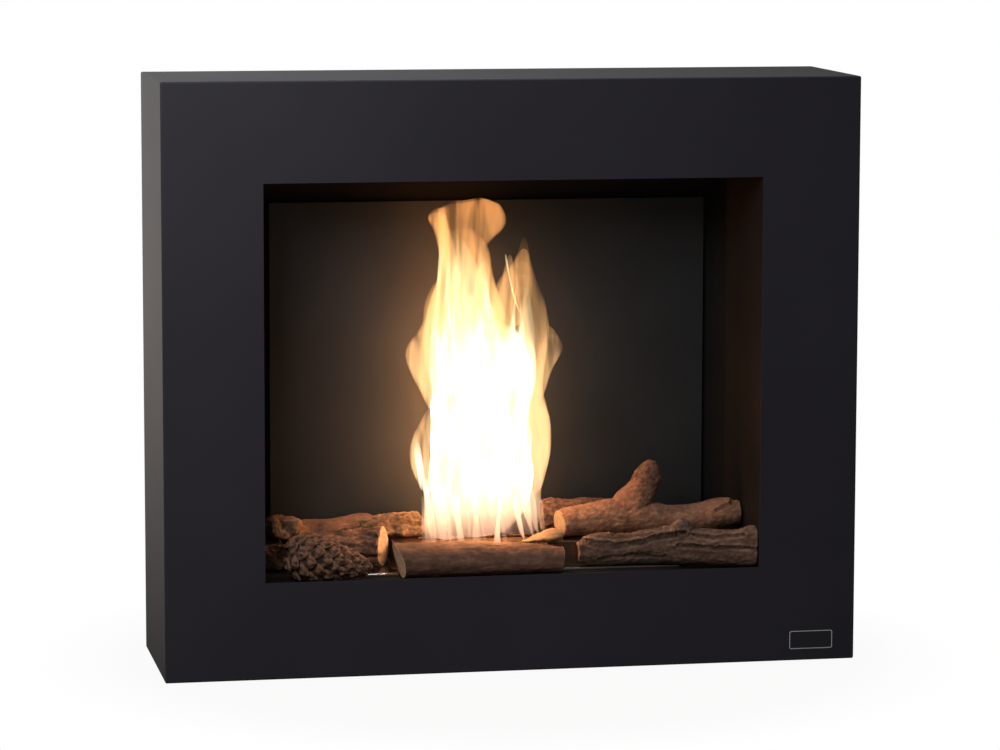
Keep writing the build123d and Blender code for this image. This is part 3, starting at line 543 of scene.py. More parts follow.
def pull(piece, *pulls):
    """Pulls the cast's skin as in clay. Each pull is a place, its reach and the move there, in mm."""
    for place, reach, move in pulls:
        place, move = from_mm(place), from_mm(move)
        for vertex in piece.data.vertices:
            near = 1.0 - ((vertex.co - place).length / (reach / 1000)) ** 2
            if near > 0.0:
                vertex.co += move * near**2


def split(piece, path, width, depth, lip):
    """Presses a ragged crack into the cast's front along (x, z) places, its upper lip standing out.

    Places, width, depth and lip are in mm.
    """
    path = [from_mm(point) for point in path]
    width, depth, lip = width / 1000, depth / 1000, lip / 1000
    for vertex in piece.data.vertices:
        if vertex.normal.y > 0.3:
            continue
        ragged = width * 0.6 * noise.noise(vertex.co * 70)
        spot = Vector((vertex.co.x, vertex.co.z + ragged))
        feet = []
        for start, end in zip(path, path[1:]):
            share = geometry.intersect_point_line(spot, start, end)[1]
            feet.append(start + (end - start) * min(max(share, 0.0), 1.0))
        foot = min(feet, key=lambda point: (spot - point).length)
        away = (spot - foot).length
        if away < width:
            vertex.co -= vertex.normal * depth * (1.0 - (away / width) ** 2) ** 2
        elif spot.y > foot.y and away < 5 * width:
            vertex.co += vertex.normal * lip * (1.0 - (away - width) / (4 * width)) ** 2


front_log = cast_copy("front_log")
# The sawn finish reaches over the ends' rounded edges, which paints a pale highlight line along the log's
# right end.
bark_group(front_log, (1, 0, 0), (-1, 1), 0.4)
for x in (-10, 20, 50):
    pull(front_log, ((x, -80, 152), 30, (0, 0, -1.6)))
pull(front_log, ((-142, -106, 130), 36, (4.8, 0, 0)))
cast_relief(front_log, (0, 2, 0), 2.8, 0.3, 1)
low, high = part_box("front_log")
front_heart = (low.x, (low.y + high.y) / 2, low.z + 0.022)
finish_log(
    front_log,
    "log_brown",
    stain("stained ceramic, brown bark", (0, 2, 0), 0x3C2B22, 0x593F32, 0x7A5A48, 0.35, 6, 0.3),
    sawn_face("front log sawn end", front_heart, (-1, 0, -0.26), 0xC49E7C, 0xB08C6C),
)

# ---- Twig ----
# The stub of a twig, cast in ceramic and stained brown. It lies loose across the edge of
# the burner's mouth.
twig = cast_copy("twig", 0.0008)
for x in (26, 36, 46, 56):
    pull(twig, ((x, -50, 147), 13, (0, -4.2, -1.2)))
pull(twig, ((67, -42, 150), 16, (4.5, -1, 1)), ((56, -42, 157), 14, (0, 0, 1.2)))
cast_relief(twig, (0, -8, 3), 1.6, 0.4, 0.9)
bark = stain("stained ceramic, twig", (0, -8, 3), 0x5A4230, 0x84654A, 0xA07E5E, 0.4, 3)
finish_log(twig, "log_brown", bark)

# ---- Forked log ----
# A smoother branch with the stub of a limb, sawn off at the left. Cast in ceramic from a
# real one, stained tan and laid in loose.
forked_log = cast_copy("forked_log")
bark_group(forked_log, (1, 0, 0), (-1,))
pull(
    forked_log,
    ((154, -20, 209), 19, (2.6, 0, -1)),
    ((146, -20, 196), 14, (0, -1, 1.6)),
    ((196, -20, 190), 14, (0, -1, 2)),
    ((180, -36, 178), 30, (0, -3, 0)),
    ((236, -30, 182), 28, (0, 2, -1.5)),
    ((294, -30, 188), 18, (-3, 2, -4)),
    ((205, -28, 215), 20, (2, 0, 0)),
)
split(forked_log, ((300, 186), (283, 180), (262, 172)), 2.8, 1.2, 1.2)
cast_relief(forked_log, (0, 0, 0), 2.6, 0.2, 1.8)
low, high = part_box("forked_log")
# The limb above 182 mm is darkened as painted shade.
finish_log(
    forked_log,
    "log_tan",
    stain("stained ceramic, tan bark", (0, 0, 0), 0x463026, 0x7E5844, 0xA67C5E, 0.15, 6, 0.4, 182),
    sawn_face("forked log sawn end", (low.x, -0.024, low.z + 0.018), (-1, 0, 0), 0x8A735C, 0x7C6551),
)

# ---- Driftwood plank ----
# A weathered split plank with deep cracks along it and a knot. Cast in ceramic, stained
# grey-brown and laid in loose.
driftwood = cast_copy("driftwood")
pull(
    driftwood,
    ((250, -78, 157), 30, (0, 0, 4.5)),
    ((98, -85, 157), 16, (0, 0, 3)),
    ((156, -85, 160), 30, (0, 0, 2)),
    ((205, -90, 166), 13, (0, -3, 2)),
    ((222, -95, 158), 10, (0, -3, 2)),
    ((192, -88, 172), 8, (-2, -1, 2)),
)
press(driftwood, "CLOUDS", 4, (50, 20, 14), (0, 0, -10), noise_depth=1)
split(
    driftwood,
    ((76, 150), (88, 145), (106, 141), (129, 139), (152, 141), (175, 147), (192, 150), (212, 153)),
    4.2,
    2.1,
    2,
)
split(driftwood, ((205, 138), (226, 137.5), (249, 136), (272, 137.5), (300, 136)), 3.4, 1.3, 1.4)
split(driftwood, ((110, 124), (150, 127), (190, 124.5)), 3, 0.9, 0.8)
split(driftwood, ((224, 151), (245, 149), (280, 152)), 3, 1.2, 1.2)
split(driftwood, ((128, 153), (160, 157), (186, 160)), 3, 1.2, 1.4)
cast_relief(driftwood, (0, -2, -10), 2.4, 0.4, 1.6)
bark = stain("stained ceramic, weathered plank", (0, -2, -10), 0x281D18, 0x4E3A30, 0x785F50, 0.3, 6, 0.45)
finish_log(driftwood, "log_grey", bark)

# ---- Back right log ----
# A log with rough bark behind the forked one. Cast in ceramic, stained dark brown and laid
# in loose.
back_right_log = cast_copy("back_right_log")
pull(
    back_right_log,
    ((66, 15, 178), 30, (0, 0, 5)),
    ((56, 10, 160), 16, (-4, -3, 0)),
    ((60, 6, 148), 14, (-4, -4, 0)),
    ((100, 12, 182), 25, (0, -2, 1.5)),
)
cast_relief(back_right_log, (0, 2, 0), 4.5, 0.7, 2.8)
bark = stain("stained ceramic, rough bark", (0, 2, 0), 0x2E2019, 0x503A2F, 0x725545, 0.15, 5, 0.55)
finish_log(back_right_log, "log_brown", bark)

# ---- Cut log and the log behind it ----
# Two logs at the left, cast in ceramic and stained brown. The nearer one's sawn end faces
# the flame, with its clean pale wood.
cut_log = cast_copy("cut_log")
cut_along = (0.757, -0.39, 0.0)
bark_group(cut_log, cut_along, (1,))
pull(
    cut_log,
    ((-146, -22, 160), 20, (0, 0, 4)),
    ((-190, -22, 158), 16, (0, 2, 3)),
    ((-170, -30, 153), 12, (0, 3, -5)),
    ((-204, -26, 157), 10, (0, 2, -5)),
    ((-186, -36, 151), 9, (0, -4, 1)),
)
split(cut_log, ((-225, 158), (-205, 156), (-190, 152.5), (-172, 155), (-156, 153)), 3.6, 1.4, 1.6)
split(cut_log, ((-198, 143), (-180, 141), (-160, 142)), 3.4, 1.2, 1.2)
split(cut_log, ((-185, 130), (-165, 128), (-152, 130)), 3.2, 1.8, 1.2)
cast_relief(cut_log, (0, -2, -5), 3.6, 0.5, 2)
low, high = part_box("cut_log")
cut_bark = stain("stained ceramic, dark bark", (0, -2, -5), 0x241812, 0x573C2E, 0x84604A, 0.25, 7, 0.5)
cut_heart = (high.x - 0.008, low.y + 0.021, (low.z + high.z) / 2)
cut_face = sawn_face("cut log sawn end", cut_heart, cut_along, 0xBEA088, 0xAA8A6E)
finish_log(cut_log, "log_brown", cut_bark, cut_face)
back_left_log = cast_copy("back_left_log")
cast_relief(back_left_log, (0, -1, -2), 2.8, 0.4, 1.4)
bark = stain("stained ceramic, back log", (0, -1, -2), 0x45302A, 0x6C4C3B, 0x87634C, 0.3, 6, 0.4)
finish_log(back_left_log, "log_brown", bark)

# ---- Bark slab ----
# A thick flake of bark on edge behind the burner's mouth, knobby, crumbling and stepped.
# Cast in ceramic and stained brown.
bark_slab = cast_copy("bark_slab")
pull(
    bark_slab,
    ((-150, 21, 168), 22, (0, 0, -2.2)),
    ((-100, 21, 172), 12, (3, 0, 1.5)),
    ((-87, 21, 157), 14, (6, 0, -1)),
    ((-160, 21, 158), 16, (-5, 0, 1)),
    ((-140, 12, 146), 18, (0, -14, 0)),
    ((-115, 12, 146), 18, (0, -14, 0)),
    ((-96, 12, 148), 14, (3, -8, 0)),
)
press(bark_slab, "VORONOI", 3, (13, 9, 10), mid=0.6)
cast_relief(bark_slab, (0, 15, 0), 3.4, 0.3, 3)
bark = stain("stained ceramic, pitted bark", (0, 15, 0), 0x3A2A20, 0x5E4533, 0x826449, 0.1, 5, 0.5)
finish_log(bark_slab, "log_brown", bark)

# ---- Stump and corner log ----
# Two short pieces in the left corner, which point to the back. Cast in ceramic, the stump
# stained grey-brown and the corner log like the cut one.
stump = cast_copy("stump")
pull(
    stump,
    ((-243, 0, 168), 22, (7, 0, 2.5)),
    ((-246, -12, 172), 12, (3, 0, 3)),
    ((-262, -10, 176), 12, (0, 0, -1.2)),
    ((-276, -12, 172), 12, (2, 0, 3.5)),
    ((-284, -10, 156), 16, (5, 0, 0)),
    ((-262, -14, 166), 10, (0, 2, 0)),
    ((-250, -14, 150), 10, (-3, 2, 0)),
)
cast_relief(stump, (0, 0, 90), 4.4, 0.4, 2)
bark = stain("stained ceramic, grey stump", (0, 0, 90), 0x32261F, 0x68503F, 0x927058, 0.15, 5, 0.5)
finish_log(stump, "log_grey", bark)
corner_log = cast_copy("corner_log")
pull(corner_log, ((-290, -12, 136), 14, (0, -1, 3)), ((-262, -13, 128), 14, (0, 4, 0)))
cast_relief(corner_log, (0, 0, 90), 5, 0.5, 2.4)
finish_log(corner_log, "log_brown", cut_bark)

# ---- Pine cone ----
# Cast in one piece in reality: a core with some seventy scales, 137.5 degrees apart as on a
# real cone, each a thick diamond with a ridge across it and a blunt point. Stained dark brown.
cone_base = Vector((-0.266, -0.069, 0.142))
cone_turn = Euler((0.0, math.radians(9.6), math.radians(-11.0)))
cone_length = 0.097
cone_radius = 0.0295
cone_outline = (0.60, 0.86, 0.98, 1.0, 0.98, 0.93, 0.86, 0.77, 0.67, 0.56, 0.45, 0.32)


def cone_width(share):
    """The cone's radius at a share of its length, between the outline's even stations."""
    place = min(max(share, 0.0), 1.0) * (len(cone_outline) - 1)
    step = min(int(place), len(cone_outline) - 2)
    before, after = cone_outline[step : step + 2]
    return cone_radius * (before + (after - before) * (place - step))


bpy.ops.mesh.primitive_uv_sphere_add(segments=12, ring_count=7, radius=1.0)
scale = bpy.context.object
in_edit_mode(scale)
bpy.ops.mesh.subdivide(number_cuts=1, smoothness=1.0)
out_of_edit_mode()
# Local X runs along the cone to the scale's tip, Y across it and Z out of the cone.
half_length, half_width, half_thickness = 0.0102, 0.0080, 0.0028
ridge_height, point_height, droop = 0.0012, 0.0013, 0.0012
for vertex in scale.data.vertices:
    x, y, z = vertex.co
    ridge = ridge_height * max(0.0, 1.0 - abs(x - 0.2) * 1.6)
    point = point_height * max(0.0, 1.0 - ((x - 0.3) ** 2 + y * y) * 7)
    vertex.co = (
        x * half_length,
        y * half_width * (1.0 - 0.50 * abs(x) ** 1.3),
        z * half_thickness + (ridge + point if z > 0 else 0.0) - droop * y * y,
    )
scale_mesh = scale.data
bpy.data.objects.remove(scale)

scales = []
golden = math.radians(137.508)
lean, sunk, spacing = math.radians(24), 0.0055, 0.0108
share = 0.02
while share < 0.985:
    around = len(scales) * golden
    width = cone_width(share)
    slope = math.atan2(cone_width(share - 0.04) - cone_width(share + 0.04), 0.08 * cone_length)
    size = 0.62 + 0.5 * width / cone_radius
    # The scale leans outwards to its tip, its own tip just under the cone's outline.
    tilt = slope - lean
    out = Matrix.Translation((share * cone_length, 0, 0)) @ Matrix.Rotation(around, 4, "X")
    put = out @ Matrix.Translation((0, 0, width - sunk * size)) @ Matrix.Rotation(tilt, 4, "Y")
    copy = scale_mesh.copy()
    copy.transform(put @ Matrix.Scale(size, 4))
    scales.append(copy)
    share += spacing * (cone_radius / max(width, 0.008)) * size**2
cone = cast_copy("pine_cone", 0.002)
for vertex in cone.data.vertices:
    local = cone_turn.to_matrix().inverted() @ (vertex.co - cone_base)
    local = Vector((0.003 + local.x * 0.94, local.y * 0.8, local.z * 0.8))
    vertex.co = cone_base + cone_turn.to_matrix() @ local
parts = [cone]
for mesh_copy in scales:
    mesh_copy.transform(Matrix.Translation(cone_base) @ cone_turn.to_matrix().to_4x4())
    parts.append(new_object("cone_scale", mesh_copy))
for part in parts:
    dress(part)
join(parts)
bpy.ops.object.select_all(action="DESELECT")
press(cone, "CLOUDS", 3.4, (8, 6, 6), noise_depth=2)
press(cone, "CLOUDS", 1.5, (2.6, 2.2, 2.2), noise_depth=1)
bark = stain("stained ceramic, pine cone", (0, 10, -11), 0x0E0806, 0x33231B, 0x6A4C3B, 0.1, 4, 0.65)
finish_log(cone, "cone_brown", bark)

# ---- Flame ----
# Burning vapour over the burner's mouth: nested thin skins of glowing soot, white at the
# heart, tan and orange in the veils round it and a thin peach just above the fuel.
flame_y, flame_foot, flame_tip = -0.013, 0.143, 0.555


def flame_skin(stations, inset, sides=20, aside=0.0):
    """One closed skin drawn upwards ring by ring.

    A station is its height, its left and right edges, its half depth and its share of the
    glow, in mm. The skin lies this far inside them, and its foot this far aside in depth.
    """
    rings = []
    for height, left, right, deep, glow in stations:
        half = (right - left) / 2 - inset
        if half > 0.8 and deep - inset > 0.8:
            fallen = (stations[-1][0] - height) / (stations[-1][0] - stations[0][0])
            y = flame_y + aside / 1000 * fallen
            rings.append(((left + right) / 2000, y, height / 1000, half / 1000, (deep - inset) / 1000))
    if len(rings) < 4:
        return None
    x, y, z, half, deep = rings[0]
    bpy.ops.mesh.primitive_circle_add(vertices=sides, radius=1.0, fill_type="NGON", location=(x, y, z))
    skin = bpy.context.object
    bpy.ops.object.transform_apply(location=True, rotation=False, scale=True)
    in_edit_mode(skin)
    bpy.ops.transform.resize(value=(half, deep, 1.0), center_override=(x, y, z))
    for ring in rings[1:]:
        step = (ring[0] - x, ring[1] - y, ring[2] - z)
        bpy.ops.mesh.extrude_region_move(TRANSFORM_OT_translate={"value": step})
        bpy.ops.transform.resize(value=(ring[3] / half, ring[4] / deep, 1.0), center_override=ring[:3])
        x, y, z, half, deep = ring
    bpy.ops.mesh.select_all(action="SELECT")
    bpy.ops.mesh.normals_make_consistent(inside=False)
    out_of_edit_mode()
    share = skin.data.attributes.new("glow", "FLOAT", "POINT")
    heights = [station[0] / 1000 for station in stations]
    glows = [station[4] for station in stations]
    for vertex, value in zip(skin.data.vertices, share.data):
        value.value = float(numpy.interp(vertex.co.z, heights, glows))
    return skin


def nested(stations, insets, sides=20, aside=0.0):
    """Skins inside each other, so that the glow grows softly from the edge inwards."""
    made = [flame_skin(stations, inset, sides, aside) for inset in insets]
    return [skin for skin in made if skin is not None]


def joined(skins, name):
    """The skins as one rounded piece, wavering as one."""
    piece = join(skins)
    piece.name = piece.data.name = name
    rounded = piece.modifiers.new("round", "SUBSURF")
    rounded.levels = rounded.render_levels = 1
    bpy.ops.object.modifier_apply(modifier=rounded.name)
    press(piece, "CLOUDS", 8, (35, 40, 80), noise_depth=1)
    press(piece, "CLOUDS", 3, (11, 30, 60), noise_depth=1)
    piece.data.shade_smooth()
    return piece


def vapour(name, hue, heat, cover, strength, contrast):
    """Glowing soot: its colour, heat and cover by height, broken into wisps that rise with it."""
    material, tree, place = new_finish(name)
    z = add_node(tree, "SeparateXYZ", {0: place}).outputs["Z"]
    height = add_node(tree, "MapRange", {"Value": z, "From Min": flame_foot, "From Max": flame_tip})
    drawn = add_node(tree, "Mapping", {"Vector": place, "Scale": (1 / 0.012, 1 / 0.045, 1 / 0.09)})
    wisp = {"Vector": drawn, "Scale": 1.0, "Detail": 1.5, "Roughness": 0.5, "Distortion": 0.6}
    wisps = add_node(tree, "TexNoise", wisp)
    spread = {"From Min": 0.38, "From Max": 0.62, "To Min": 1 - contrast, "To Max": 1 + contrast}
    waver = add_node(tree, "MapRange", {"Value": wisps, **spread})
    glow = add_node(tree, "Attribute", attribute_name="glow").outputs["Fac"]
    soot_and_painted_shade = add_node(tree, "Math", {0: waver, 1: glow}, operation="MULTIPLY")
    # Film cuts the flame off at white, while a reflection shows that it is brighter, and orange.
    mirrored = add_node(tree, "LightPath").outputs["Is Glossy Ray"]
    bright = add_node(tree, "MapRange", {"Value": mirrored, "To Min": strength, "To Max": strength * 3.2})
    hues = {"Factor": mirrored, "A": shades(tree, height, *hue), "B": colour(0xFFAC68)}
    tint = add_node(tree, "Mix", hues, data_type="RGBA")
    power = add_node(tree, "Math", {0: shades(tree, height, *heat), 1: bright}, operation="MULTIPLY")
    covers = {0: shades(tree, height, *cover), 1: soot_and_painted_shade}
    share = add_node(tree, "Math", covers, operation="MULTIPLY", use_clamp=True)
    burning = add_node(tree, "Emission", {"Color": tint, "Strength": power})
    clear = add_node(tree, "BsdfTransparent")
    mixed = add_node(tree, "MixShader", {0: share, 1: clear, 2: burning})
    add_node(tree, "OutputMaterial", {"Surface": mixed})
    material.cycles.emission_sampling = "NONE"
    return material


def set_alight(piece, material):
    """Gives the piece its glow. The lamps inside it light the logs, so the skins cast nothing."""
    dress(piece, material)
    piece.visible_diffuse = piece.visible_shadow = False
    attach(piece, "cabinet")


main_column = (
    (144, -94, 12, 17, 0.24), (156, -92, 18, 19, 0.36), (180, -88, 28, 21, 0.6), (205, -85, 34, 22, 0.85),
    (235, -84, 38, 23, 1), (265, -84, 38, 24, 1), (300, -86, 36, 24, 1), (330, -88, 34, 23, 1),
    (360, -92, 30, 22, 1), (390, -93, 20, 20, 0.95), (420, -91, 7, 18, 0.9), (450, -80, -5, 16, 0.9),
    (472, -73, -11, 14, 0.8), (488, -74, -13, 13, 0.6), (503, -77, -20, 11, 0.35), (518, -76, -34, 8, 0.1),
    (526, -72, -50, 4, 0),
)
right_column = (
    (144, -4, 44, 15, 0.24), (166, 0, 46, 18, 0.45), (210, 4, 50, 20, 0.8), (234, 0, 58, 20, 1),
    (266, -4, 63, 20, 1), (290, -4, 61, 20, 1), (313, -2, 50, 18, 1), (338, 0, 51, 18, 0.9),
    (362, -2, 58, 17, 0.7), (388, -8, 62, 16, 0.55), (410, -11, 60, 15, 0.42), (430, -12, 56, 13, 0.34),
    (450, -8, 48, 11, 0.3), (464, 4, 42, 9, 0.28), (478, 15, 37, 6, 0.26), (492, 23, 33, 4, 0.22),
    (506, 27, 30, 2, 0.1),
)
low_lobe = (
    (190, -84, -30, 16, 0.8), (205, -95, -34, 18, 1), (222, -105, -36, 18, 1), (240, -111, -38, 18, 0.9),
    (258, -110, -40, 17, 0.7), (274, -105, -45, 15, 0.5), (288, -96, -50, 12, 0.3),
    (300, -90, -58, 8, 0.15), (308, -86, -66, 3, 0),
)
high_lobe = (
    (292, -84, -40, 12, 1), (312, -92, -44, 16, 1), (335, -103, -46, 17, 0.9), (352, -111, -48, 16, 0.7),
    (366, -115, -50, 15, 0.6), (380, -112, -52, 13, 0.55), (392, -101, -54, 12, 0.5),
    (404, -93, -56, 11, 0.45), (418, -94, -58, 10, 0.4), (432, -93, -62, 8, 0.3), (446, -86, -66, 5, 0.15),
    (456, -80, -70, 3, 0.05),
)
right_lobe = (
    (196, 30, 48, 8, 0.5), (212, 26, 54, 12, 0.9), (232, 24, 60, 14, 1), (255, 24, 64, 14, 1),
    (275, 26, 63, 13, 0.9), (290, 30, 60, 11, 0.7), (302, 34, 54, 7, 0.4), (310, 38, 48, 3, 0.1),
)
spike = (
    (300, 14, 48, 10, 0.5), (325, 20, 54, 12, 0.5), (345, 26, 62, 12, 0.4), (358, 32, 71, 11, 0.34),
    (370, 42, 79, 9, 0.26), (379, 50, 77, 7, 0.2), (390, 54, 69, 5, 0.2), (400, 54, 62, 2, 0.1),
)
middle_tongue = (
    (395, -8, 28, 9, 0.7), (425, -6, 28, 10, 0.6), (445, -2, 25, 9, 0.5), (462, 2, 21, 7, 0.45),
    (475, 6, 17, 4, 0.4), (486, 9, 14, 2, 0.2),
)
head = (
    (474, -70, -26, 11, 0), (490, -74, -24, 12, 0.3), (503, -77, -14, 12, 0.45), (514, -79, 0, 12, 0.5),
    (524, -81, 6, 12, 0.5), (533, -87, 5, 11, 0.55), (540, -79, 2, 10, 0.6), (546, -66, 0, 8, 0.6),
    (551, -60, -14, 5, 0.5), (554, -56, -34, 2, 0.3),
)
hook = (
    (470, -70, -50, 8, 0.5), (486, -74, -54, 8, 1.4), (500, -77, -58, 7, 2.2), (512, -79, -61, 7, 2.6),
    (522, -82, -63, 6, 2.6), (530, -87, -65, 5, 2.2), (537, -84, -66, 4, 1.6), (543, -76, -64, 2, 0.8),
)
veils = []
for stations, insets in (
    (main_column, (0, 0.7, 1.5, 2.4, 3.5, 5, 7, 9.5, 12.5)),
    (right_column, (0, 0.8, 1.8, 3, 4.5, 6.5, 9)),
    (low_lobe, (0, 0.5, 1.4, 3, 5)),
    (high_lobe, (0, 0.8, 1.8, 3.2, 5)),
    (right_lobe, (0, 0.4, 1, 2.5, 4.5)),
    (spike, (0, 0.8, 1.8)),
    (middle_tongue, (0, 0.8, 1.8)),
    (head, (0, 0.9, 2.2, 4)),
    (hook, (0, 1.2, 2.6)),
):
    veils += nested(stations, insets)
veil = joined(veils, "flame_veil")
set_alight(
    veil,
    vapour(
        "flame veil",
        hue=(
            (0, 0xFFB49A), (0.06, 0xFFC6A0), (0.2, 0xFFC88C), (0.55, 0xFFC482), (0.8, 0xFFB870),
            (1, 0xFFA65C),
        ),
        heat=((0, 0.7), (0.08, 0.85), (0.25, 1.0), (0.6, 1.1), (0.8, 1.15), (1, 1.0)),
        cover=((0, 0.06), (0.1, 0.09), (0.25, 0.115), (0.6, 0.11), (0.8, 0.09), (1, 0.075)),
        strength=1.6,
        contrast=0.75,
    ),
)

heart_column = (
    (143, -86, 2, 12, 0.08), (155, -87, 14, 13, 0.14), (168, -88, 26, 14, 0.24), (182, -87, 33, 15, 0.45),
    (202, -84, 36, 15, 0.85), (222, -88, 43, 16, 1), (243, -83, 38, 16, 1), (265, -87, 42, 16, 1),
    (288, -84, 34, 16, 1), (308, -88, 37, 16, 1), (325, -83, 42, 15, 1), (340, -87, 38, 15, 1),
    (355, -84, 36, 14, 0.8), (374, -82, 32, 12, 0.4), (392, -78, 24, 10, 0.15), (406, -70, 8, 8, 0),
)
hearts = nested(heart_column, (0, 0.4, 1, 1.8, 3.2, 5.6))
# Above the white the glow thins out to yellow in the main column and in the right one.
upper_glow = (
    (330, -80, 14, 14, 0.8), (360, -79, 8, 13, 0.65), (390, -77, 0, 12, 0.42), (415, -75, -6, 11, 0.32),
    (440, -73, -14, 10, 0.26), (462, -71, -22, 9, 0.2), (485, -71, -34, 7, 0.12), (505, -72, -48, 5, 0.05),
    (520, -72, -58, 3, 0),
)
right_glow = (
    (300, 6, 36, 12, 0), (325, 8, 42, 12, 0.4), (350, 12, 42, 11, 0.25), (372, 16, 42, 9, 0.14),
    (395, 20, 42, 8, 0.08), (420, 24, 42, 6, 0.1), (445, 26, 38, 4, 0.05), (460, 28, 34, 2, 0),
)
hearts += nested(upper_glow, (0, 1.2, 2.8, 5)) + nested(right_glow, (0, 1, 2.4))


def filament(foot, top, half, profile, brightness=1, deep=1, aside=0, bow=1.3):
    """A narrow streak between two (x, z) points: its half width and glow at each share of its height."""
    stations = []
    for share, wide, glow in profile:
        middle = foot[0] + (top[0] - foot[0]) * share**bow
        height, reach = foot[1] + (top[1] - foot[1]) * share, half * wide
        stations.append((height, middle - reach, middle + reach, reach * deep, glow * brightness))
    return nested(stations, (0, 0.8, 1.8, 3), 12, aside)


# A rising streak starts in the white, thins out and fades at its tip.
rising = ((0, 0.6, 0), (0.15, 0.9, 0.7), (0.3, 1, 1), (0.5, 0.85, 0.8), (0.7, 0.65, 0.5),
          (0.88, 0.4, 0.22), (1, 0.2, 0))
for foot, top, half, brightness, bow in (
    ((-80, 300), (-70, 525), 5, 1, 1.6), ((-58, 320), (-66, 505), 6.5, 0.8, 0.8),
    ((-64, 310), (-46, 495), 5.5, 0.6, 1.5), ((-40, 320), (-60, 500), 6, 0.5, 1.2),
    ((-26, 330), (-14, 478), 6, 0.7, 0.7), ((-8, 330), (-26, 498), 7, 0.9, 1.4),
    ((4, 300), (-12, 452), 5, 0.4, 1.2), ((16, 290), (30, 425), 5, 0.5, 1.4),
    ((28, 290), (24, 455), 3.5, 0.4, 1), ((8, 300), (21, 468), 4.5, 0.5, 1.1),
):
    hearts += filament(foot, top, half, rising, brightness, bow=bow)
# A thin bright line, where a veil is seen along its edge, and the curled rim of the low lobe.
edge_line = ((0, 0.5, 0), (0.2, 0.9, 0.8), (0.5, 1, 1), (0.8, 0.8, 0.9), (1, 0.4, 0.3))
hearts += filament((30, 405), (6, 487), 2.6, edge_line, 1, bow=0.55)
hearts += filament((-92, 200), (-101, 262), 4, edge_line, 0.35, bow=0.6)
# Narrow tongues stand in the mouth and lick over its front edge. They run together above it.
standing = (
    (0, 0.4, 0.04), (0.12, 0.6, 0.5), (0.3, 0.8, 1), (0.6, 1, 1), (0.85, 1.2, 0.6), (1, 1, 0),
)
for foot_x, top_x, top_z, half, brightness, bow in (
    (-101, -92, 200, 4, 0.10, 0.6), (-94, -90, 222, 3.5, 0.30, 1), (-86, -91, 212, 3, 0.55, 1.2),
    (-76, -74, 228, 6, 0.40, 0.5), (-66, -72, 206, 3, 0.45, 1.5), (-54, -58, 222, 5.5, 0.70, 1.2),
    (-45, -40, 214, 3, 0.30, 0.7), (-35, -32, 230, 7, 0.50, 1), (-22, -30, 205, 3.5, 0.25, 0.6),
    (-11, 6, 222, 5.5, 1.80, 1.5), (2, -6, 210, 3, 0.20, 0.7), (33, 13, 214, 4, 0.75, 0.32),
    (41, 25, 216, 4, 0.60, 0.42), (46, 34, 206, 3, 0.30, 0.5), (49, 46, 196, 2.5, 0.12, 0.8),
):
    hearts += filament((foot_x, 137), (top_x, top_z), half, standing, brightness, 1, -39, bow)
heart = joined(hearts, "flame_heart")
set_alight(
    heart,
    vapour(
        "flame heart",
        hue=(
            (0, 0xFFBE98), (0.05, 0xFFCA9E), (0.11, 0xFFDCB0), (0.18, 0xFFF0D4), (0.5, 0xFFF2D4),
            (0.7, 0xFFECB4), (1, 0xFFE0A0),
        ),
        heat=(
            (0, 0.26), (0.05, 0.34), (0.11, 0.5), (0.18, 0.9), (0.5, 1.0), (0.6, 0.6), (0.75, 0.42), (1, 0.4),
        ),
        cover=((0, 0.28), (0.1, 0.34), (0.2, 0.42), (0.5, 0.42), (0.65, 0.28), (1, 0.26)),
        strength=5.0,
        contrast=0.35,
    ),
)
bpy.context.scene.cycles.transparent_max_bounces = 128
for number, (x, ahead, z, power) in enumerate(
    ((-0.030, -0.040, 0.195, 1.0), (-0.030, -0.015, 0.260, 1.25), (-0.025, -0.015, 0.330, 0.95),
     (-0.040, -0.015, 0.430, 0.35)),
    1,
):
    lamp = bpy.data.lights.new(f"flame_light_{number}", "POINT")
    lamp.energy = power
    lamp.color = colour(0xFFC488)[:3]
    lamp.shadow_soft_size = 0.03
    holder = new_object(f"flame_light_{number}", lamp)
    holder.location = (x, flame_y + ahead, z)
    holder.visible_glossy = False

# ---- Floor and light ----
# White paper under the object. A camera sees it white but for the object's faint shadow, and
# a reflection finds it bright behind the object and dim in the room in front of it.
floor_height = cad_box[0].z
bpy.ops.mesh.primitive_plane_add(size=14.0, location=(0, 0, floor_height))
floor = bpy.context.object
floor.name = "studio_floor"
paper, tree, place = new_finish("white paper floor")
far = add_node(tree, "VectorMath", {0: place}, operation="LENGTH").outputs["Value"]
fade = add_node(
    tree,
    "MapRange",
    {"Value": far, "From Min": 0.38, "From Max": 0.60, "To Min": 0.94},
    interpolation_type="SMOOTHSTEP",
)
back = add_node(tree, "SeparateXYZ", {0: place}).outputs["Y"]
mirrored = add_node(
    tree, "MapRange", {"Value": back, "From Min": -0.3, "From Max": 4.0, "To Min": 0.06, "To Max": 1.2}
)
ray = add_node(tree, "LightPath")
direct = add_node(tree, "Math", {0: ray.outputs["Is Camera Ray"], 1: fade}, operation="MULTIPLY")
in_mirror = ray.outputs["Is Glossy Ray"]
seen = add_node(tree, "Math", {0: direct, 1: in_mirror}, operation="MAXIMUM")
shine = add_node(tree, "Mix", {"Factor": in_mirror, "A": 1.0, "B": mirrored}, data_type="FLOAT")
matt = add_node(tree, "BsdfDiffuse", {"Color": colour(0x929092)})
tints = {"Factor": in_mirror, "A": colour(0xFFFFFF), "B": colour(0xFFEEE0)}
tint = add_node(tree, "Mix", tints, data_type="RGBA")
white = add_node(tree, "Emission", {"Color": tint, "Strength": shine})
mix = add_node(tree, "MixShader", {0: seen, 1: matt, 2: white})
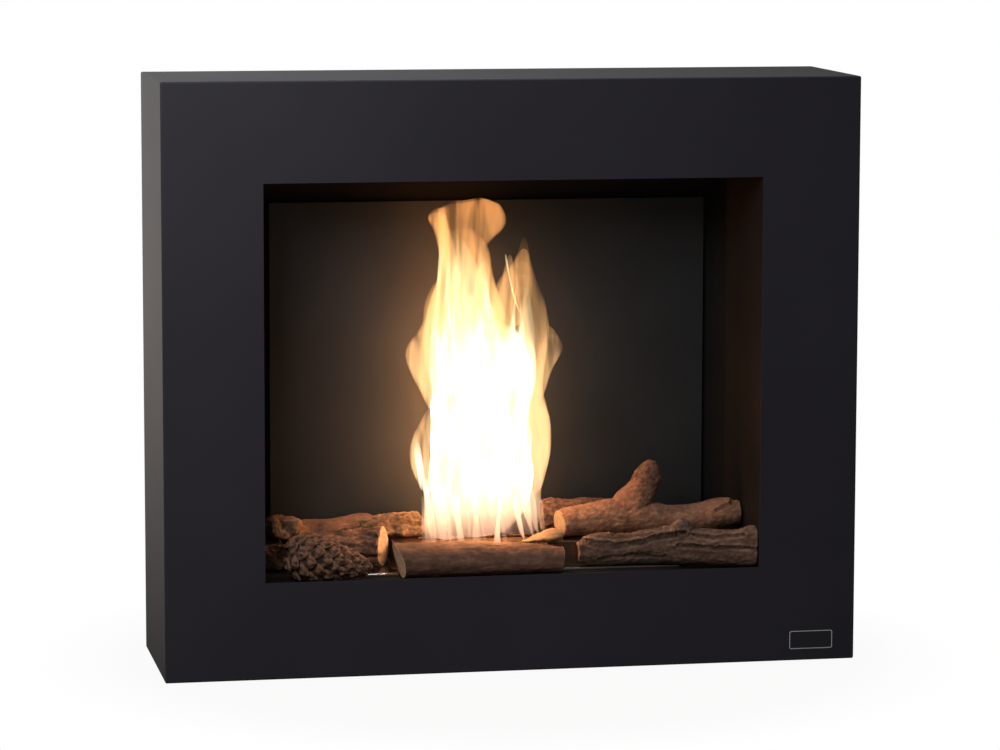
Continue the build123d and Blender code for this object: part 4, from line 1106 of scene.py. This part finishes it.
add_node(tree, "OutputMaterial", {"Surface": mix})
dress(floor, paper)

studio = bpy.data.worlds.new("studio")
bpy.context.scene.world = studio
studio.use_nodes = True
tree = studio.node_tree
tree.nodes.clear()
ray = add_node(tree, "LightPath")
# The backdrop is white, and brightest towards the left, where the studio's window is.
toward = add_node(tree, "SeparateXYZ", {0: add_node(tree, "TexCoord").outputs["Generated"]})
depth = {"Value": toward.outputs["Y"], "From Min": -0.5, "From Max": 0.3, "To Min": 0.25, "To Max": 1.0}
ahead = add_node(tree, "MapRange", depth, interpolation_type="SMOOTHSTEP")
side = {"Value": toward.outputs["X"], "From Min": 0.06, "From Max": 0.26, "To Min": 0.85, "To Max": 0.12}
sideways = add_node(tree, "MapRange", side)
room = add_node(tree, "Math", {0: ahead, 1: sideways}, operation="MULTIPLY")
in_mirror = ray.outputs["Is Glossy Ray"]
lit = add_node(tree, "Mix", {"Factor": in_mirror, "A": 0.24, "B": room}, data_type="FLOAT")
through = ray.outputs["Is Transmission Ray"]
shown = add_node(tree, "Math", {0: ray.outputs["Is Camera Ray"], 1: through}, operation="MAXIMUM")
strength = add_node(tree, "Mix", {"Factor": shown, "A": lit, "B": 1.0}, data_type="FLOAT")
sky = add_node(tree, "Background", {"Color": colour(0xFFFFFF), "Strength": strength})
add_node(tree, "OutputWorld", {"Surface": sky})


def softbox(name, place, aim, width, height, power):
    """A rectangular lamp at one place that faces another."""
    lamp = bpy.data.lights.new(name, "AREA")
    lamp.shape = "RECTANGLE"
    lamp.size, lamp.size_y = width, height
    lamp.energy = power
    holder = new_object(name, lamp)
    holder.location = place
    holder.rotation_euler = (Vector(aim) - Vector(place)).to_track_quat("-Z", "Y").to_euler()


softbox("key", (-0.85, -1.15, 1.20), (-0.3, 0.0, 0.45), 0.6, 0.6, 14.5)
# A weak strip overhead that the rims of the tray and the burner mirror as a thin line.
softbox("overhead_strip", (0.13, -0.36, 1.75), (0.13, -0.067, 0.115), 0.42, 0.12, 3.2)

bpy.context.scene.view_settings.view_transform = "Standard"
